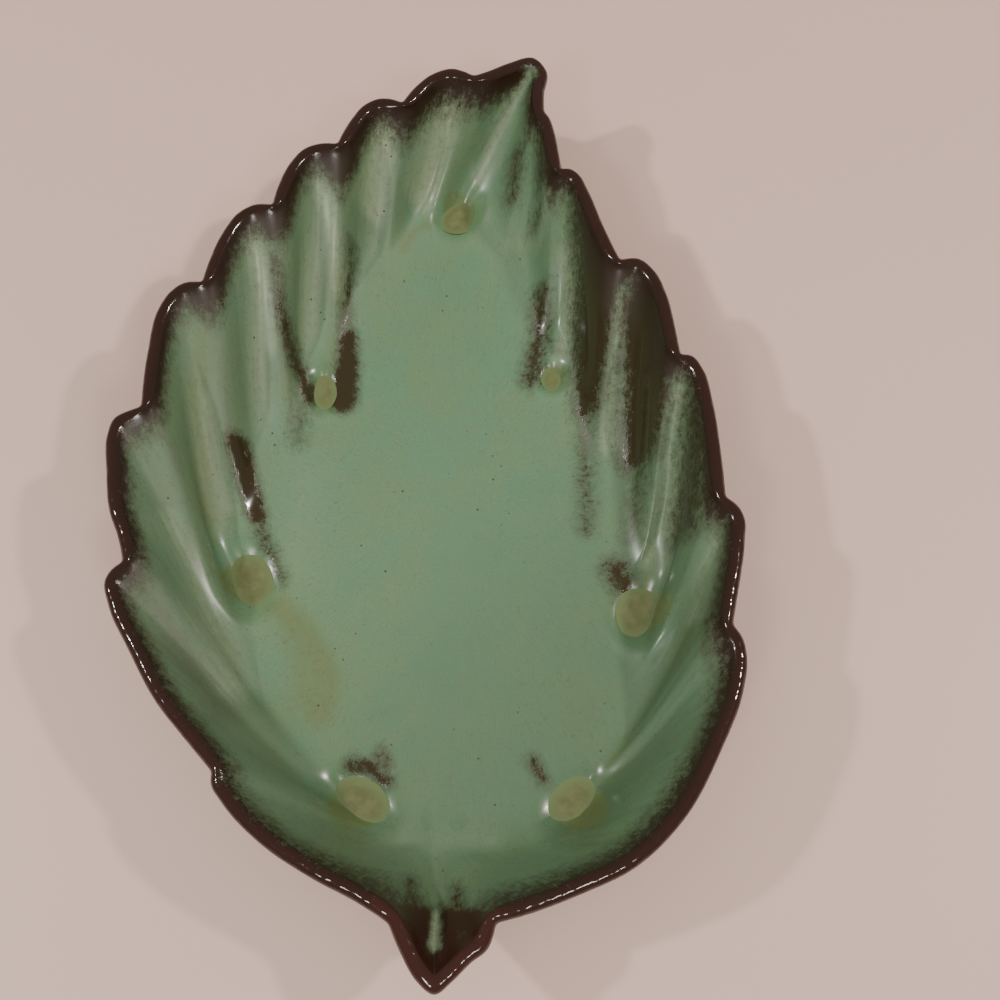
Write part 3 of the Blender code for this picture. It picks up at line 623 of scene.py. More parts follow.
    def spot(self, pool, shift, spread, spare=(0, 0), slide=(0, 0)):
        """Middle, groove direction and half sizes of an oval round a pool, once it is moved."""
        middle = np.array(TEETH[pool.tooth].groove_foot_share) * (WIDTH, LENGTH)
        crest = self.column_at(self.crests[list(TEETH).index(pool.tooth)])
        towards_rim = self.rim[crest] - middle
        along = towards_rim / np.linalg.norm(towards_rim)
        half_across = POOL_HALF_ACROSS * pool.across_share * spread + spare[0]
        half_along = POOL_HALF_ALONG * pool.along_share * spread + spare[1]
        return middle - along * shift + np.array(slide) * MM, along, half_across, half_along

    def beside(self, place):
        """Index of the column whose foot is nearest to a place."""
        return int(np.argmin(np.linalg.norm(self.foot - place, axis=1)))

    def place_in(self, spot, plan, margin=0):
        """Distance from a spot's middle as a share of its size, and how far it is towards the rim."""
        middle, along, half_across, half_along = spot
        offset = plan - middle
        forward = offset @ along / (half_along + margin)
        sideways = offset @ np.array((-along[1], along[0])) / (half_across + margin)
        radius = np.hypot(forward, sideways)
        return radius, forward / np.maximum(radius, SLOPE_STEP)

    def plan(self, station):
        """One ring of the middle surface, seen from above."""
        climb = np.clip(station - FOOT_STATION, 0, 1)
        sharp = smoothstep((climb - TEETH_START_SHARE) / (1 - TEETH_START_SHARE))[:, None]
        rim = self.soft_rim * (1 - sharp) + self.rim * sharp
        straight = rim - self.foot
        turned = self.foot_out * np.linalg.norm(straight, axis=1)[:, None] - straight
        early = FOOT_TURN_SHARE * climb * (1 - climb) ** 2
        wall = self.foot + straight * climb[:, None] + turned * early[:, None]
        floor = self.middle + (self.foot - self.middle) * np.minimum(station, FOOT_STATION)[:, None]
        return np.where((station > FOOT_STATION)[:, None], wall, floor)

    def level(self, station):
        """Height of one ring of the middle surface."""
        outer = station - FOOT_STATION
        way = np.where(outer > 0, outer, outer * self.reach / self.span)
        bend = BEND_SOFTNESS_SHARE * np.logaddexp(0, (way - BEND_START_SHARE) / BEND_SOFTNESS_SHARE)
        full = BEND_SOFTNESS_SHARE * np.logaddexp(0, (1 - BEND_START_SHARE) / BEND_SOFTNESS_SHARE)
        return FLOOR_MIDDLE + (RIM_MIDDLE - FLOOR_MIDDLE) * (bend / full) ** WALL_CURVE_POWER

    def ring(self, station, offset, angle=0.0):
        """One ring of a skin: a station, and an offset from the middle surface at an angle.

        Angle 0 is square to the surface, into the dish; 180 degrees is square to it, out of the dish.
        Between them the offset turns over the lip.
        """
        station = np.broadcast_to(np.asarray(station, dtype=float), (DENSE_COLUMNS,))
        plan = self.plan(station)
        below = station - SLOPE_STEP
        rise = (self.level(station) - self.level(below)) / (station - below)
        way = (plan - self.plan(below)) / (station - below)[:, None]
        out = self.soft_outward(plan)
        slope = np.arctan2(rise, np.einsum("ij,ij->i", way, out))
        square = np.column_stack((-out * np.sin(slope)[:, None], np.cos(slope)))
        upward = np.column_stack((out * np.cos(slope)[:, None], np.sin(slope)))
        base = np.column_stack((plan, self.level(station)))
        climb = np.clip(station - FOOT_STATION, 0, 1)
        rise = np.sin(math.pi * climb ** GROOVE_PLACE_POWER) * smoothstep(climb / GROOVE_START_SHARE)
        base += square * (self.wave * rise)[:, None]
        points = base + offset * (math.cos(angle) * square + math.sin(angle) * upward)
        if angle == 0:
            points[:, 2] -= self.hollow_depth(plan, CLAY_WALL / 2 - offset)
        elif angle == math.pi:
            foot = self.foot_share(plan, FOOT_MARGIN + offset - CLAY_WALL / 2)
            bottom = -FOOT_SINK - (offset - CLAY_WALL / 2)
            points[:, 2] = points[:, 2] * (1 - foot) + bottom * foot
        near_rim = smoothstep((climb - NOSE_START_SHARE) / (1 - NOSE_START_SHARE))
        over = 1 if angle > math.pi / 2 else math.sin(angle)
        points[:, :2] += self.nose * (near_rim * over)[:, None]
        inner = (1 + math.cos(angle)) / 2
        fold = (self.near_stem * smoothstep(climb / STEM_FOLD_SHARE) * inner)[:, None]
        return points * (1 - fold) + blurred(points, STEM_ROUNDING, self.pitch) * fold

    def hollow_depth(self, plan, margin):
        """How far the inside is pressed down at each point of a ring, less the brim beside it."""
        depth = np.zeros(len(plan))
        for hollow in self.hollows:
            radius, lean = self.place_in(hollow, plan, margin)
            floor_side = smoothstep(BRIM_TURN_SHARE - lean)
            gentle = (1 + np.cos(math.pi * np.clip(radius, 0, 1))) / 2
            steep = 1 - smoothstep((radius - STEEP_START_SHARE) / (1 - STEEP_START_SHARE))
            brim = np.exp(-((radius - BRIM_PLACE_SHARE) / BRIM_WIDTH_SHARE) ** 2)
            size = hollow_size(hollow)
            depth += size * HOLLOW_DEPTH * (gentle + (steep - gentle) * floor_side)
            depth -= size * BRIM_HEIGHT * brim * floor_side
        return depth

    def foot_share(self, plan, margin):
        """How far the outside is drawn down to the table at each point of a ring, from 0 to 1."""
        share = np.zeros(len(plan))
        for foot in self.feet:
            radius, _ = self.place_in(foot, plan, margin)
            share = np.maximum(share, 1 - smoothstep((radius - FOOT_FLAT_SHARE) / (1 - FOOT_FLAT_SHARE)))
        return share

    def clay_ring(self, station, offset, angle=0.0):
        """One ring of the clay, flat where a foot stands on the table."""
        points = self.ring(station, offset, angle)
        points[:, 2] = np.maximum(points[:, 2], 0)
        return points

    def back_ring(self, station):
        """One ring of the coat on the back, which dives into the clay round each bare foot."""
        over = self.ring(station, LIP_RADIUS, math.pi)
        under = self.ring(station, COAT_SEAT - GLAZE, math.pi)
        under[:, 2] = np.maximum(under[:, 2], GLAZE_END)
        bare = (1 - smoothstep((over[:, 2] - BARE_FOOT) / GLAZE_END))[:, None]
        return over * (1 - bare) + under * bare


LEAF = Leaf()

# Where the rings of the skins lie, closest together at the foot line: stations of the floor, shares of the
# wall, shares of both for a hidden side, angles over the lip, and shares of the rim's coat below the lip
INSIDE_END = RIM_STATION - RIM_BAND / LEAF.span
FLOOR_STATIONS = np.concatenate((np.linspace(0.08, 0.68, 8), np.linspace(0.72, 1, 13)))
WALL_SHARES = np.concatenate((np.linspace(0.02, 0.3, 13), np.linspace(0.34, 1, 19)))
UNDER_SHARES = (1, 0.8, 0.55, 0.3, 0.12)
LIP_ANGLES = np.linspace(0, math.pi, 17)
BAND_SHARES = (0, 0.25, 0.5, 0.75)


def wall_stations(shares):
    """Stations at shares of the way from the foot line to the end of the inside coat."""
    return [FOOT_STATION + (INSIDE_END - FOOT_STATION) * share for share in shares]


def coat_stations(every=1):
    """Stations from the middle of the floor to the end of the inside coat, or every second one."""
    return list(FLOOR_STATIONS[::every]) + wall_stations(WALL_SHARES[::every])


def under_stations():
    """Stations of a coat's hidden side, from its end to the middle of the floor."""
    return wall_stations(UNDER_SHARES) + list(UNDER_SHARES)


def distance_to(places, half_widths, plan):
    """Distance of each point to a line of places, less the line's half width there."""
    nearest = np.full(len(plan), np.inf)
    lengths = run_length(places)
    widths = np.interp(lengths, (0, lengths[-1]), half_widths) * MM
    for start, end, first, last in zip(places, places[1:], widths, widths[1:]):
        line = end - start
        part = np.clip((plan - start) @ line / (line @ line), 0, 1)
        gap = np.linalg.norm(plan - start - part[:, None] * line, axis=1)
        nearest = np.minimum(nearest, gap - first - (last - first) * part)
    return nearest


def rim_brown(from_edge):
    """How brown the glaze is from the rim alone: half at the end of the brown band."""
    return 0.5 + (LEAF.brown_reach - from_edge) / (2 * RIM_SOFTNESS)


def laid(points, from_edge, climb):
    """How the glaze lies at each point, with painted shade and painted highlights: each field of the
    layout, from 0 to 1.
    """
    plan = points[:, :2]
    fields = {kind: np.zeros(len(points)) for kind in STROKES}
    fields["brown"] = rim_brown(from_edge)
    relief = LEAF.wave / GROOVE_DEPTH * np.sin(math.pi * climb)
    fields["deep"] = np.clip(relief, 0, 1) * RIDGE_DEEP
    fields["pale_and_highlight"] = np.clip(-relief, 0, 1) * GROOVE_PALE
    for kind, strokes in STROKES.items():
        for places_share, half_widths, softness, strength in strokes:
            away = distance_to(np.array(places_share) * (WIDTH, LENGTH), half_widths, plan)
            field = np.clip(0.5 - away / (2 * softness * MM), 0, 1)
            fields[kind] = np.maximum(fields[kind], field * strength)
    fields["brown"] = np.clip(fields["brown"], 0, 1) * (1 - fields["bare"])
    for stain in LEAF.stains:
        radius, lean = LEAF.place_in(stain, plan)
        edge = 1 - STAIN_NARROWING * np.clip(lean, 0, 1)
        field = np.clip((edge - radius) / STAIN_SOFTNESS_SHARE, 0, 1)
        fields["olive"] = np.maximum(fields["olive"], field)
    for hollow in LEAF.hollows:
        radius, _ = LEAF.place_in(hollow, plan)
        near = smoothstep((GLOSS_REACH_SHARE - radius) / GLOSS_SOFTNESS_SHARE)
        fields["gloss"] = np.maximum(fields["gloss"], near)
    return np.column_stack([fields[kind] for kind in FIELDS])


def ruddy(points, from_edge):
    """How red the brown is at each point: all over the rim and the stem, and less further in."""
    rim = 1 - smoothstep(from_edge / RUDDY_REACH)
    stem = smoothstep((STEM_RUDDY_SHARE * LENGTH - points[:, 1]) / STEM_REACH)
    beside = np.abs(points[:, 0] - TEETH["stem"].crest_share[0] * WIDTH)
    return np.maximum(rim, stem * (1 - smoothstep(beside / STEM_REACH - 1)) * STEM_RUDDY)


def flow(from_edge):
    """Coordinates that run round the dish and down the slope, with no seam."""
    turn = LEAF.arc * 2 * math.pi / LEAF.rim_length
    radius = LEAF.rim_length / (2 * math.pi)
    return np.column_stack((radius * np.cos(turn), radius * np.sin(turn), from_edge))


def skin_row(station, angle):
    """One glazed ring: its points, the fields of its layout, its flow and how ruddy its brown is."""
    points = LEAF.back_ring(station) if angle == math.pi else LEAF.ring(station, LIP_RADIUS, angle)
    station = np.broadcast_to(np.asarray(station, dtype=float), (DENSE_COLUMNS,))
    roll = LIP_RADIUS * (math.pi / 2 - min(angle, math.pi - angle))
    from_edge = (RIM_STATION - station) * LEAF.span + roll
    fields = laid(points, from_edge, np.clip(station - FOOT_STATION, 0, 1))
    if angle > math.pi / 2:
        fields[:, 0] = np.clip(rim_brown(from_edge), 0, 1)
        fields[:, 1:] = 0
    return points, fields, flow(from_edge), ruddy(points, from_edge)


def hidden_row(points):
    """A ring that never shows, with an empty layout."""
    columns = len(points)
    return points, np.zeros((columns, len(FIELDS))), np.zeros((columns, 3)), np.zeros(columns)


def hidden_rows(places, offset, angle=0.0):
    """Rings of a coat's hidden side."""
    return [hidden_row(LEAF.ring(station, offset, angle)) for station in places]


def loft(name, rings, poles):
    """A closed mesh through rings of points, with a pole at both ends or joined last to first."""
    points = np.array(rings)
    index = np.arange(points[..., 0].size).reshape(points.shape[:2])
    ends = index[0], index[-1]
    if not poles:
        index = np.vstack((index, index[:1]))
    after = np.roll(index, -1, axis=1)
    faces = np.stack((index[:-1], after[:-1], after[1:], index[1:]), axis=-1).reshape(-1, 4).tolist()
    vertices = points.reshape(-1, 3).tolist()
    for pole, ring in zip(poles, ends):
        faces += [(int(a), int(b), len(vertices)) for a, b in zip(ring, np.roll(ring, -1))]
        vertices.append(pole)
    mesh = bpy.data.meshes.new(name)
    mesh.from_pydata(vertices, [], faces)
    return mesh


def weave(name, rows, step, heights=()):
    """A mesh through rows, with their layout as attributes, closed in the middle at both heights."""
    rings, fields, flows, reds = ([part[::step] for part in parts] for parts in zip(*rows))
    mesh = loft(name, rings, [(*LEAF.middle, height) for height in heights])
    spare = len(heights)
    fields = np.vstack(fields + [np.zeros((spare, len(FIELDS)))])
    flows = np.vstack(flows + [np.zeros((spare, 3))])
    reds = np.concatenate(reds + [np.zeros(spare)])
    for attribute, kind, key, values in (
            ("lay", "FLOAT_COLOR", "color", fields[:, :4]),
            ("course", "FLOAT_VECTOR", "vector", flows),
            ("ruddy", "FLOAT", "value", reds),
            ("gloss", "FLOAT", "value", fields[:, 4])):
        mesh.attributes.new(attribute, kind, "POINT").data.foreach_set(key, np.ravel(values))
    return mesh


def add_piece(name, mesh, material, slot, *nodes):
    """An object of the dish with its material, standing for CAD nodes."""
    work = bmesh.new()
    work.from_mesh(mesh)
    bmesh.ops.recalc_face_normals(work, faces=work.faces)
    work.to_mesh(mesh)
    work.free()
    mesh.shade_smooth()
    mesh.set_sharp_from_angle(angle=SHARP_ANGLE)
    mesh.materials.append(material)
    piece = bpy.data.objects.new(name, mesh)
    bpy.context.scene.collection.objects.link(piece)
    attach(piece, BODY)
    if nodes:
        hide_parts(*nodes)
    return piece


class Tree:
    """A node tree, with one way to add any node."""

    def __init__(self, tree):
        self.tree = tree

    def plug(self, value, socket):
        """Link a socket, or set it to a number, a colour or another value."""
        if isinstance(value, Number):
            value = value.socket
        if isinstance(value, bpy.types.NodeSocket):
            self.tree.links.new(value, socket)
        elif isinstance(socket, bpy.types.NodeSocketColor):
            socket.default_value = (*value, 1)
        else:
            socket.default_value = value

    def node(self, kind, inputs=None, **settings):
        """A node of any type, with its settings first and then its sockets."""
        node = self.tree.nodes.new(kind)
        for key, value in settings.items():
            setattr(node, key, value)
        for key, value in (inputs or {}).items():
            self.plug(value, node.inputs[key])
        return node


class Number:
    """A number socket that adds Math nodes when it is reckoned with."""

    def __init__(self, tree, socket):
        self.tree = tree
        self.socket = socket

    def reckon(self, operation, first, second):
        """A new number from one Math node."""
        node = self.tree.node("ShaderNodeMath", {0: first, 1: second}, operation=operation)
        return Number(self.tree, node.outputs[0])

    def __add__(self, other):
        return self.reckon("ADD", self, other)

    def __radd__(self, other):
        return self.reckon("ADD", other, self)

    def __sub__(self, other):
        return self.reckon("SUBTRACT", self, other)

    def __rsub__(self, other):
        return self.reckon("SUBTRACT", other, self)

    def __mul__(self, other):
        return self.reckon("MULTIPLY", self, other)

    def __truediv__(self, other):
        return self.reckon("DIVIDE", self, other)


class Paint(Tree):
    """A material's node tree, with the nodes that the looks are made of."""

    def __init__(self, name):
        self.material = bpy.data.materials.new(name)
        self.material.use_nodes = True
        super().__init__(self.material.node_tree)
        self.tree.nodes.clear()

    def place(self):
        """Where a point lies on the piece."""
        return self.node("ShaderNodeTexCoord").outputs["Object"]

    def axes(self, vector):
        """The three numbers of a vector."""
        outputs = self.node("ShaderNodeSeparateXYZ", {"Vector": vector}).outputs
        return [Number(self, outputs[axis]) for axis in "XYZ"]

    def attribute(self, name):
        """The sockets of one of the piece's attributes."""
        return self.node("ShaderNodeAttribute", attribute_name=name).outputs

    def noise(self, vector, scale, detail, roughness):
        """Smooth noise between 0 and 1."""
        node = self.node("ShaderNodeTexNoise", {
            "Vector": vector, "Scale": scale, "Detail": detail, "Roughness": roughness})
        return Number(self, node.outputs["Fac"])

    def stretched(self, vector, factors):
        """A vector times three factors."""
        return self.node("ShaderNodeVectorMath", {0: vector, 1: factors}, operation="MULTIPLY").outputs[0]

    def step(self, value, low, high):
        """0 below low, 1 above high, soft between them."""
        node = self.node("ShaderNodeMapRange", {
            "Value": value, "From Min": low, "From Max": high}, interpolation_type="SMOOTHSTEP")
        return Number(self, node.outputs["Result"])

    def mix(self, factor, first, second):
        """A colour between two others."""
        return self.node("ShaderNodeMix", {0: factor, 6: first, 7: second}, data_type="RGBA").outputs[2]

    def bump(self, height, distance):
        """A normal bent by a height in shares of a distance."""
        return self.node("ShaderNodeBump", {"Height": height, "Distance": distance}).outputs["Normal"]

    def finish(self, inputs):
        """The Principled shader and the output; returns the material."""
        shader = self.node("ShaderNodeBsdfPrincipled", inputs)
        self.node("ShaderNodeOutputMaterial", {"Surface": shader.outputs["BSDF"]})
        return self.material


def swing(noise, reach):
    """A noise that swings to both sides of zero."""
    return (noise - NOISE_MIDDLE) * reach


def glaze_material(name, tones):
    """The glaze: green where it lies thick, breaking to brown where it ran thin, with painted shade and
    painted highlights.
    """
    paint = Paint(name)
    lay = paint.attribute("lay")
    parts = paint.node("ShaderNodeSeparateColor", {"Color": lay["Color"]}).outputs
    brown, olive, deep = (Number(paint, parts[part]) for part in ("Red", "Green", "Blue"))
    pale_and_highlight = Number(paint, lay["Alpha"])
    red = Number(paint, paint.attribute("ruddy")["Fac"])
    gloss = Number(paint, paint.attribute("gloss")["Fac"])
    course = paint.attribute("course")["Vector"]
    edge = paint.axes(course)[2]
    place = paint.place()
    across, along, above = paint.axes(place)

    hair = paint.noise(paint.stretched(course, HAIR_STRETCH), *HAIR)
    streak = paint.noise(paint.stretched(course, STREAK_STRETCH), *STREAK)
    mottle = paint.noise(place, *MOTTLE)
    cloud = paint.noise(place, *CLOUD)
    grain = paint.noise(place, *GRAIN)
    thin = brown + (swing(grain, GRAIN_RAG) + swing(mottle, MOTTLE_RAG) + swing(hair, HAIR_RAG))
    broken = paint.step(thin, *BROKEN_EDGE)
    green = 1 - broken

    colour = paint.mix(paint.step(cloud, *CLOUD_EDGE), tones.green, tones.sea_green)
    colour = paint.mix(paint.step(mottle, *MOTTLE_EDGE) * MOTTLE_SHARE, colour, tones.pale_green)
    # Painted shade: the glaze darkens towards the right and the stem, strongly on the floor and faintly on
    # the wall
    far_shade = paint.step(across * FAR_SLANT - along + swing(cloud, FAR_CLOUD) * MM, *FAR_EDGE)
    floor = 1 - paint.step(above, *FLOOR_EDGE)
    wall = 1 - floor
    rightward = paint.step(across, *RIGHT_EDGE)
    colour = paint.mix(far_shade * (FAR_WALL_SHARE + floor * FAR_FLOOR_SHARE), colour, tones.deep_green)
    colour = paint.mix(wall * (1 - rightward * GREY_FADE_SHARE) * GREY_SHARE, colour, tones.grey_green)
    shade = paint.mix(rightward, tones.grey_olive, tones.deep_green)
    drag = swing(streak, DRAG) * wall
    # The deeper field holds darker glaze on the ridges and painted shade; the milky field holds milky glaze
    # and painted highlights
    runs = (
        (deep, DEEP_SHARE, shade),
        (olive, OLIVE_SHARE, tones.olive),
        (pale_and_highlight, PALE_SHARE, tones.pale_green))
    for field, share, look in runs:
        colour = paint.mix(paint.step(field + drag, *LAID_EDGE) * share, colour, look)
    colour = paint.mix(paint.step(thin, *DUSK_EDGE) * DUSK_SHARE, colour, tones.dark_green)
    outer = 1 - paint.step(edge, *OUTER_EDGE)
    stem = paint.step(red, *STEM_EDGE)
    reds = outer * OUTER_RED + swing(cloud, CLOUD_RED) + swing(mottle, MOTTLE_RED) + stem * STEM_RED
    rust = paint.mix(paint.step(reds, 0, 1), tones.brown, tones.red_brown)
    colour = paint.mix(broken, colour, paint.mix(red, tones.umber, rust))
    colour = paint.mix(swing(grain, GRAIN_SHARE) * green, colour, tones.brown)

    satin = SATIN - gloss * GLOSS_CUT + swing(mottle, MOTTLE_ROUGH)
    collar = paint.step(edge, *COLLAR_START) * (1 - paint.step(edge, *COLLAR_END))
    roughness = satin * green + (BROWN_ROUGH + collar * COLLAR_ROUGH) * broken
    lumps = paint.noise(place, *LUMP) * (1 - paint.step(edge, *LUMP_EDGE)) * LUMP_HEIGHT
    height = green * GREEN_HEIGHT + cloud * CLOUD_HEIGHT + lumps + grain * GRAIN_HEIGHT * green
    normal = paint.bump(height, GLASS_BUMP)
    return paint.finish({"Base Color": colour, "Roughness": roughness, "Normal": normal, "IOR": GLASS_IOR})


def clay_material(tones):
    """Bare fired clay, matt and gritty."""
    paint = Paint("bare_clay")
    place = paint.place()
    grit = paint.noise(place, *GRIT)
    cloud = paint.noise(place, *CLAY_CLOUD)
    colour = paint.mix(paint.step(cloud, *CLOUD_EDGE), tones.clay, tones.pale_clay)
    colour = paint.mix(paint.step(grit, *GRIT_EDGE) * GRIT_SHARE, colour, tones.brown)
    normal = paint.bump(grit, CLAY_BUMP)
    return paint.finish({"Base Color": colour, "Roughness": CLAY_ROUGH, "Normal": normal})


def pool_material(tones):
    """Pooled olive glass: it turns green at its shore, with small specks."""
    paint = Paint("pooled_glass")
    place = paint.place()
    depth = Number(paint, paint.attribute("depth")["Fac"])
    cloud = paint.noise(place, *POOL_CLOUD)
    speck = paint.noise(place, *SPECK)
    colour = paint.mix(paint.step(cloud, *POOL_EDGE), tones.pool, tones.pale_pool)
    shallow = 1 - paint.step(depth / MM + swing(cloud, SHORE_CLOUD), 0, SHORE_DEPTH)
    colour = paint.mix(shallow, colour, paint.mix(SHORE_SHARE, tones.olive, tones.green))
    colour = paint.mix(paint.step(speck, *SPECK_EDGE) * SPECK_SHARE, colour, tones.brown)
    normal = paint.bump(cloud, GLASS_BUMP)
    return paint.finish({"Base Color": colour, "Roughness": POOL_ROUGH, "Normal": normal, "IOR": GLASS_IOR})


def pit_material(tones):
    """The dark bottom of a pinhole."""
    paint = Paint("pinhole_pit")
    colour = paint.mix(paint.noise(paint.place(), *PIT_GRIT), tones.brown, tones.deep_green)
    return paint.finish({"Base Color": colour, "Roughness": PIT_ROUGH})


def table_material(stage):
    """A plain pale table top."""
    paint = Paint("table_top")
    cloud = paint.noise(paint.place(), *TABLE_CLOUD)
    colour = paint.mix(cloud, stage.table, [channel * TABLE_SHADE for channel in stage.table])
    return paint.finish({"Base Color": colour, "Roughness": TABLE_ROUGH})


def tone(name, description, default):
    """A colour that a user can change."""
    return FloatVectorProperty(
        name=name, description=description, subtype="COLOR", size=3, min=0, max=1, default=default)


def length(name, description, default, **limits):
    """A length that a user can change."""
    return FloatProperty(
        name=name, description=description, default=default, subtype="DISTANCE", unit="LENGTH", **limits)


class GlazeTones(bpy.types.PropertyGroup):
    """Colours of the clay and the glaze."""

    green: tone("Green", "Glaze on the floor and the wall", (0.108, 0.200, 0.094))
    sea_green: tone("Sea green", "Cooler clouds in the green", (0.092, 0.200, 0.108))
    # Pale green is also the painted highlight in the grooves at the top of the dish
    pale_green: tone("Pale green", "Thick milky glaze in the grooves", (0.265, 0.325, 0.205))
    grey_green: tone("Grey green", "Greyer glaze all over the wall", (0.112, 0.145, 0.086))
    # Grey olive is also the painted shade in the bands low on the left wall
    grey_olive: tone("Grey olive", "Darker glaze between the grooves, on the left", (0.084, 0.100, 0.058))
    # Deep green is also the painted shade towards the right and the stem, and low on the right wall
    deep_green: tone("Deep green", "Darker glaze low on the wall, on the right", (0.052, 0.092, 0.044))
    dark_green: tone("Dark green", "Thin glaze where the green turns brown", (0.045, 0.046, 0.021))
    olive: tone("Olive", "Runs of olive glass", (0.116, 0.150, 0.054))
    brown: tone("Brown", "Thinnest glaze, on the rim", (0.021, 0.0085, 0.0048))
    red_brown: tone("Red brown", "Redder clouds in the brown", (0.038, 0.012, 0.008))
    umber: tone("Umber", "Thin glaze on the ridges", (0.032, 0.024, 0.009))
    pool: tone("Pool", "Pooled olive glass", (0.102, 0.119, 0.043))
    pale_pool: tone("Pale pool", "Lighter clouds in the pools", (0.136, 0.155, 0.062))
    clay: tone("Clay", "Bare clay of the feet", (0.36, 0.17, 0.10))
    pale_clay: tone("Pale clay", "Lighter clouds in the bare clay", (0.46, 0.26, 0.17))


class PinholeSizes(bpy.types.PropertyGroup):
    """Number and size of the pinholes."""

    density: FloatProperty(
        name="Density", description="Pinholes for each square metre", default=2600, min=0)
    radius: length("Radius", "Radius of the largest pinhole", 0.42 * MM, min=0.1 * MM)
    seed: IntProperty(name="Seed", description="Choice of the places", default=4, min=0)


class StageSettings(bpy.types.PropertyGroup):
    """The table, the lights and the camera."""

    table: tone("Table", "Colour of the table top", (0.68, 0.48, 0.41))
    table_size: length("Table size", "Length of the table's side", 6)
    camera_distance: length("Camera distance", "From the middle of the picture to the camera", 379.4 * MM)
    camera_tilt: FloatProperty(
        name="Camera tilt", description="Turn from straight down, towards the tip",
        default=math.radians(20), subtype="ANGLE", unit="ROTATION")
    lens: FloatProperty(
        name="Lens", description="Focal length in millimetres on a 36 mm sensor", default=45, min=10)
    side_power: FloatProperty(
        name="Side lights", description="Power in watts of each light beside the dish", default=9.5)
    near_power: FloatProperty(
        name="Near lights", description="Power in watts of each light behind the camera", default=3.8)
    ceiling_power: FloatProperty(
        name="Ceiling light", description="Power of the large soft light in watts", default=8.6)
    air: tone("Air", "Light from all around", (0.29, 0.278, 0.266))


class MakeClayShell(bpy.types.Operator):
    """Make the clay body, flat and bare where its feet stand"""

    bl_idname = "leaf_dish.clay_shell"
    bl_label = "Clay shell"

    def execute(self, context):
        half = CLAY_WALL / 2
        places = [(station, 0.0) for station in coat_stations(2)]
        places += [(RIM_STATION, angle) for angle in LIP_ANGLES[::4]]
        places += [(station, math.pi) for station in coat_stations()[::-1]]
        rows = [hidden_row(LEAF.clay_ring(station, half, angle)) for station, angle in places]
        mesh = weave("clay_shell", rows, CLAY_STEP, (FLOOR_MIDDLE + half, FLOOR_MIDDLE - half))
        add_piece("clay_shell", mesh, clay_material(context.scene.leaf_glaze), "clay_body", "clay_body")
        return {"FINISHED"}


class MakeInsideCoat(bpy.types.Operator):
    """Make the coat of glaze over the floor and the wall"""

    bl_idname = "leaf_dish.inside_coat"
    bl_label = "Inside glaze"

    def execute(self, context):
        rows = [skin_row(station, 0.0) for station in coat_stations()]
        rows += hidden_rows(under_stations(), COAT_SEAT)
        poles = FLOOR_MIDDLE + LIP_RADIUS, FLOOR_MIDDLE + COAT_SEAT
        mesh = weave("inside_coat", rows, FINE_STEP, poles)
        material = glaze_material("inside_glaze_coat", context.scene.leaf_glaze)
        add_piece("inside_coat", mesh, material, "inside_glaze", "inside_glaze")
        return {"FINISHED"}


class MakeRimCoat(bpy.types.Operator):
    """Make the coat of glaze over the lip"""

    bl_idname = "leaf_dish.rim_coat"
    bl_label = "Rim glaze"

    def execute(self, context):
        places = [INSIDE_END + (RIM_STATION - INSIDE_END) * share for share in BAND_SHARES]
        rows = [skin_row(station, 0.0) for station in places]
        rows += [skin_row(RIM_STATION, angle) for angle in LIP_ANGLES]
        rows += [skin_row(station, math.pi) for station in places[::-1]]
        rows += hidden_rows([INSIDE_END], COAT_SEAT, math.pi)
        for angle in LIP_ANGLES[::-4]:
            rows += hidden_rows([RIM_STATION], COAT_SEAT, angle)
        rows += hidden_rows([INSIDE_END], COAT_SEAT)
        mesh = weave("rim_coat", rows, FINE_STEP)
        material = glaze_material("rim_glaze_coat", context.scene.leaf_glaze)
        add_piece("rim_coat", mesh, material, "rim_glaze", "rim_glaze")
        return {"FINISHED"}


class MakeBackCoat(bpy.types.Operator):
    """Make the coat of glaze over the back, open round each bare foot"""

    bl_idname = "leaf_dish.back_coat"
    bl_label = "Outside glaze"

    def execute(self, context):
        inner = COAT_SEAT - 2 * GLAZE
        rows = [skin_row(station, math.pi) for station in coat_stations()]
        rows += [hidden_row(LEAF.clay_ring(station, inner, math.pi)) for station in under_stations()]
        mesh = weave("back_coat", rows, FINE_STEP, (FLOOR_MIDDLE - LIP_RADIUS, FLOOR_MIDDLE - inner))
        material = glaze_material("back_glaze_coat", context.scene.leaf_glaze)
        add_piece("back_coat", mesh, material, "outside_glaze", "outside_glaze")
        return {"FINISHED"}


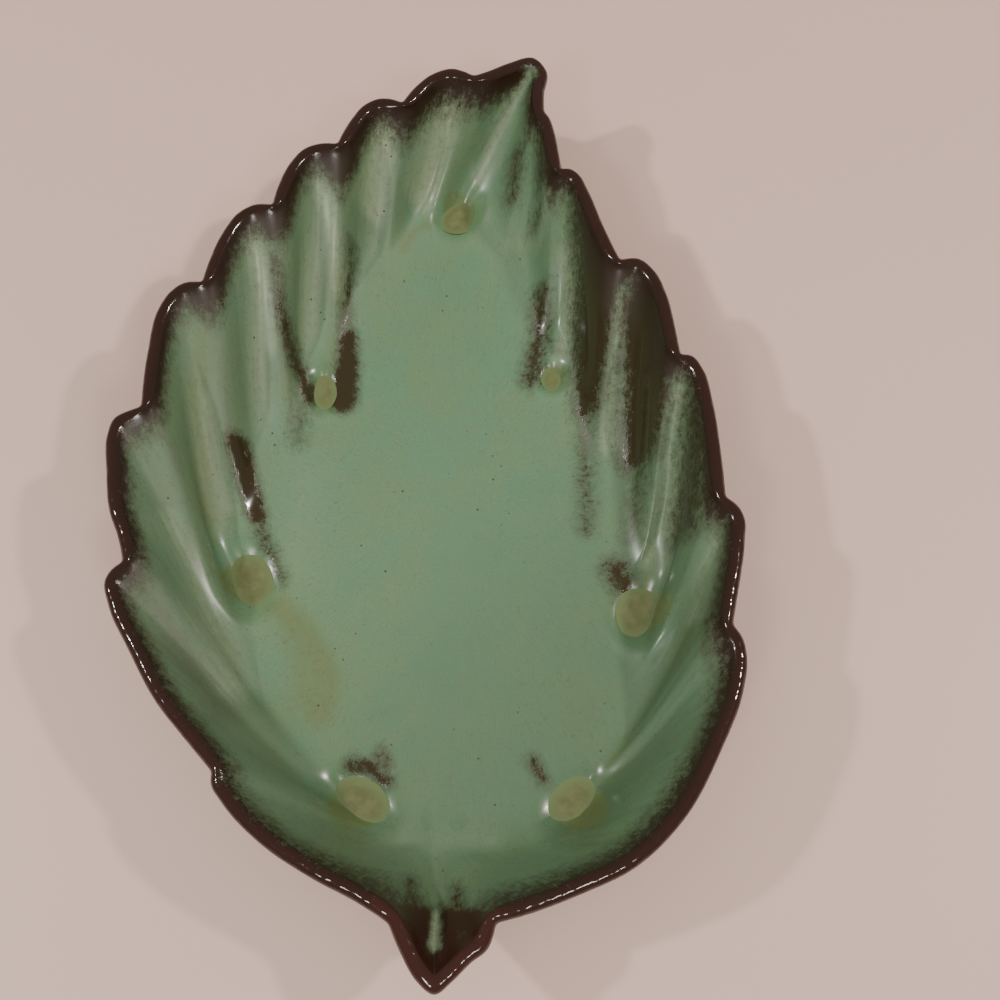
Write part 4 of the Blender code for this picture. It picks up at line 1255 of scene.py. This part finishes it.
class MakePools(bpy.types.Operator):
    """Make the seven pools of olive glass"""

    bl_idname = "leaf_dish.pools"
    bl_label = "Pools"

    def execute(self, context):
        material = pool_material(context.scene.leaf_glaze)
        for name, hollow in zip(POOLS, LEAF.hollows):
            add_piece(name + "_glass", self.lens(name, hollow), material, name, name)
        return {"FINISHED"}

    def lens(self, name, hollow):
        """A pool: level on top, bowl-shaped below, its edge inside the coat round it."""
        middle, along, half_across, half_along = hollow
        size = hollow_size(hollow)
        surface = LEAF.level(np.ones(DENSE_COLUMNS))[LEAF.beside(middle)] + LIP_RADIUS
        top = surface - POOL_DROP * size
        depth = (HOLLOW_DEPTH - POOL_DROP) * size
        across = np.array((-along[1], along[0]))
        turns = np.arange(POOL_SIDES) * 2 * math.pi / POOL_SIDES
        circle = (np.outer(np.sin(turns), along) * half_along
                  + np.outer(np.cos(turns), across) * half_across)
        radii = np.linspace(0, 1, POOL_RINGS + 1)[1:]
        sheets = [(radius, top) for radius in radii]
        sheets += [(radius, top - depth * (1 - radius ** 2)) for radius in radii[-2::-1]]
        rings = []
        for radius, height in sheets:
            plan = middle + circle * radius * POOL_REACH_SHARE
            rings.append(np.column_stack((plan, np.full(POOL_SIDES, height))))
        mesh = loft(name + "_glass", rings, [(*middle, top), (*middle, top - depth)])
        coat = bpy.data.objects["inside_coat"]
        downward = 0, 0, -1
        places = [(*vertex.co.xy, HEIGHT) for vertex in mesh.vertices]
        depths = [top - coat.ray_cast(place, downward)[1].z for place in places]
        mesh.attributes.new("depth", "FLOAT", "POINT").data.foreach_set("value", depths)
        return mesh


def pinhole_tree(material):
    """Geometry nodes that scatter small dark pits over what faces up."""
    nodes = Tree(bpy.data.node_groups.new("pinholes", "GeometryNodeTree"))
    face = nodes.tree.interface
    face.new_socket("Geometry", in_out="INPUT", socket_type="NodeSocketGeometry")
    for name, kind in (("Density", "Float"), ("Radius", "Float"), ("Seed", "Int")):
        face.new_socket(name, in_out="INPUT", socket_type="NodeSocket" + kind)
    face.new_socket("Geometry", in_out="OUTPUT", socket_type="NodeSocketGeometry")

    given = nodes.node("NodeGroupInput").outputs
    normal = nodes.node("GeometryNodeInputNormal").outputs[0]
    upward = nodes.node("ShaderNodeSeparateXYZ", {0: normal}).outputs["Z"]
    level = nodes.node(
        "FunctionNodeCompare", {"A": upward, "B": LEVEL_SHARE}, data_type="FLOAT", operation="GREATER_THAN")
    spread = nodes.node("GeometryNodeDistributePointsOnFaces", {
        "Mesh": given["Geometry"], "Selection": level.outputs["Result"], "Density": given["Density"],
        "Seed": given["Seed"]}).outputs
    ball = nodes.node("GeometryNodeMeshUVSphere", {
        "Segments": PIT_SEGMENTS, "Rings": PIT_RINGS, "Radius": given["Radius"]}).outputs["Mesh"]
    flat = nodes.node("GeometryNodeTransform", {"Geometry": ball, "Scale": PIT_SCALE}).outputs["Geometry"]
    size = nodes.node(
        "FunctionNodeRandomValue", {"Min": SMALLEST_PIT_SHARE, "Max": 1.0, "Seed": given["Seed"]},
        data_type="FLOAT")
    grown = next(socket for socket in size.outputs if socket.enabled)
    placed = nodes.node("GeometryNodeInstanceOnPoints", {
        "Points": spread["Points"], "Instance": flat, "Rotation": spread["Rotation"],
        "Scale": grown}).outputs["Instances"]
    real = nodes.node("GeometryNodeRealizeInstances", {"Geometry": placed}).outputs["Geometry"]
    coated = nodes.node("GeometryNodeSetMaterial", {"Geometry": real, "Material": material})
    nodes.node("NodeGroupOutput", {"Geometry": coated.outputs["Geometry"]})
    return nodes.tree


class MakePinholes(bpy.types.Operator):
    """Scatter the pinholes over the inside glaze"""

    bl_idname = "leaf_dish.pinholes"
    bl_label = "Pinholes"

    def execute(self, context):
        sizes = context.scene.leaf_pinholes
        material = pit_material(context.scene.leaf_glaze)
        carrier = bpy.data.objects.new("pinhole_carrier", bpy.data.objects["inside_coat"].data)
        context.scene.collection.objects.link(carrier)
        modifier = carrier.modifiers.new("pinholes", "NODES")
        modifier.node_group = pinhole_tree(material)
        values = {"Density": sizes.density, "Radius": sizes.radius, "Seed": sizes.seed}
        for item in modifier.node_group.interface.items_tree:
            if item.in_out == "INPUT" and item.name in values:
                modifier[item.identifier] = values[item.name]
        context.view_layer.update()
        evaluated = carrier.evaluated_get(context.evaluated_depsgraph_get())
        mesh = bpy.data.meshes.new_from_object(evaluated)
        bpy.data.objects.remove(carrier)
        mesh.materials.clear()
        add_piece("pinholes", mesh, material, "inside_glaze")
        return {"FINISHED"}


class MakeStage(bpy.types.Operator):
    """Make the table, the lights and the camera"""

    bl_idname = "leaf_dish.stage"
    bl_label = "Stage"

    def execute(self, context):
        stage = context.scene.leaf_stage
        self.add_table(stage)
        for name, (azimuth, elevation, size, power, colour) in LIGHTS.items():
            self.add_light(name, azimuth, elevation, size, getattr(stage, power), colour)
        bpy.data.objects["ceiling_light"].visible_glossy = False
        world = bpy.data.worlds.new("air")
        context.scene.world = world
        world.use_nodes = True
        world.node_tree.nodes["Background"].inputs["Color"].default_value = (*stage.air, 1)
        self.add_camera(context, stage)
        return {"FINISHED"}

    def add_table(self, stage):
        """A large flat table under the dish."""
        half = stage.table_size / 2
        mesh = bpy.data.meshes.new("table")
        corners = [(-half, -half, 0), (half, -half, 0), (half, half, 0), (-half, half, 0)]
        mesh.from_pydata(corners, [], [range(len(corners))])
        mesh.materials.append(table_material(stage))
        table = bpy.data.objects.new("table", mesh)
        bpy.context.scene.collection.objects.link(table)

    def add_light(self, name, azimuth, elevation, size, power, colour):
        """A round light that looks at the dish, placed by its angles in degrees."""
        turn = math.radians(azimuth)
        tilt = math.radians(elevation)
        lamp = bpy.data.lights.new(name, "AREA")
        lamp.shape = "DISK"
        lamp.size = size
        lamp.energy = power
        lamp.color = colour
        light = bpy.data.objects.new(name, lamp)
        light.location = (
            LIGHT_DISTANCE * math.cos(tilt) * math.cos(turn),
            LIGHT_DISTANCE * math.cos(tilt) * math.sin(turn),
            LIGHT_DISTANCE * math.sin(tilt))
        light.rotation_euler = light.location.to_track_quat("Z", "Y").to_euler()
        bpy.context.scene.collection.objects.link(light)

    def add_camera(self, context, stage):
        """The camera, above the dish and a little towards its stem."""
        lens = bpy.data.cameras.new("camera")
        lens.lens = stage.lens
        lens.sensor_width = SENSOR_WIDTH
        camera = bpy.data.objects.new("camera", lens)
        aim_x, aim_y, aim_z = CAMERA_AIM
        camera.location = (
            aim_x,
            aim_y - stage.camera_distance * math.sin(stage.camera_tilt),
            aim_z + stage.camera_distance * math.cos(stage.camera_tilt))
        camera.rotation_euler = (stage.camera_tilt, 0, 0)
        context.scene.collection.objects.link(camera)
        context.scene.camera = camera


OPERATORS = (
    MakeClayShell, MakeInsideCoat, MakeRimCoat, MakeBackCoat, MakePools, MakePinholes, MakeStage)
SETTINGS = {"leaf_glaze": GlazeTones, "leaf_pinholes": PinholeSizes, "leaf_stage": StageSettings}


class LeafDishPanel(bpy.types.Panel):
    """Lists the pieces of the leaf dish and their settings"""

    bl_idname = "VIEW3D_PT_leaf_dish"
    bl_label = "Leaf dish"
    bl_space_type = "VIEW_3D"
    bl_region_type = "UI"
    bl_category = "Leaf dish"

    def draw(self, context):
        for operator in OPERATORS:
            self.layout.operator(operator.bl_idname)
        for key, group in SETTINGS.items():
            box = self.layout.box()
            for name in group.__annotations__:
                box.prop(getattr(context.scene, key), name)


def register():
    """Register the settings, the operators and the panel."""
    for item in (*SETTINGS.values(), *OPERATORS, LeafDishPanel):
        bpy.utils.register_class(item)
    for key, group in SETTINGS.items():
        setattr(bpy.types.Scene, key, PointerProperty(type=group))


def unregister():
    """Take back what register added."""
    for key in SETTINGS:
        delattr(bpy.types.Scene, key)
    for item in reversed((*SETTINGS.values(), *OPERATORS, LeafDishPanel)):
        bpy.utils.unregister_class(item)


def main():
    """Make every piece and the stage."""
    register()
    bpy.ops.leaf_dish.clay_shell()
    bpy.ops.leaf_dish.inside_coat()
    bpy.ops.leaf_dish.rim_coat()
    bpy.ops.leaf_dish.back_coat()
    bpy.ops.leaf_dish.pools()
    bpy.ops.leaf_dish.pinholes()
    bpy.ops.leaf_dish.stage()


if __name__ == "__main__":
    main()
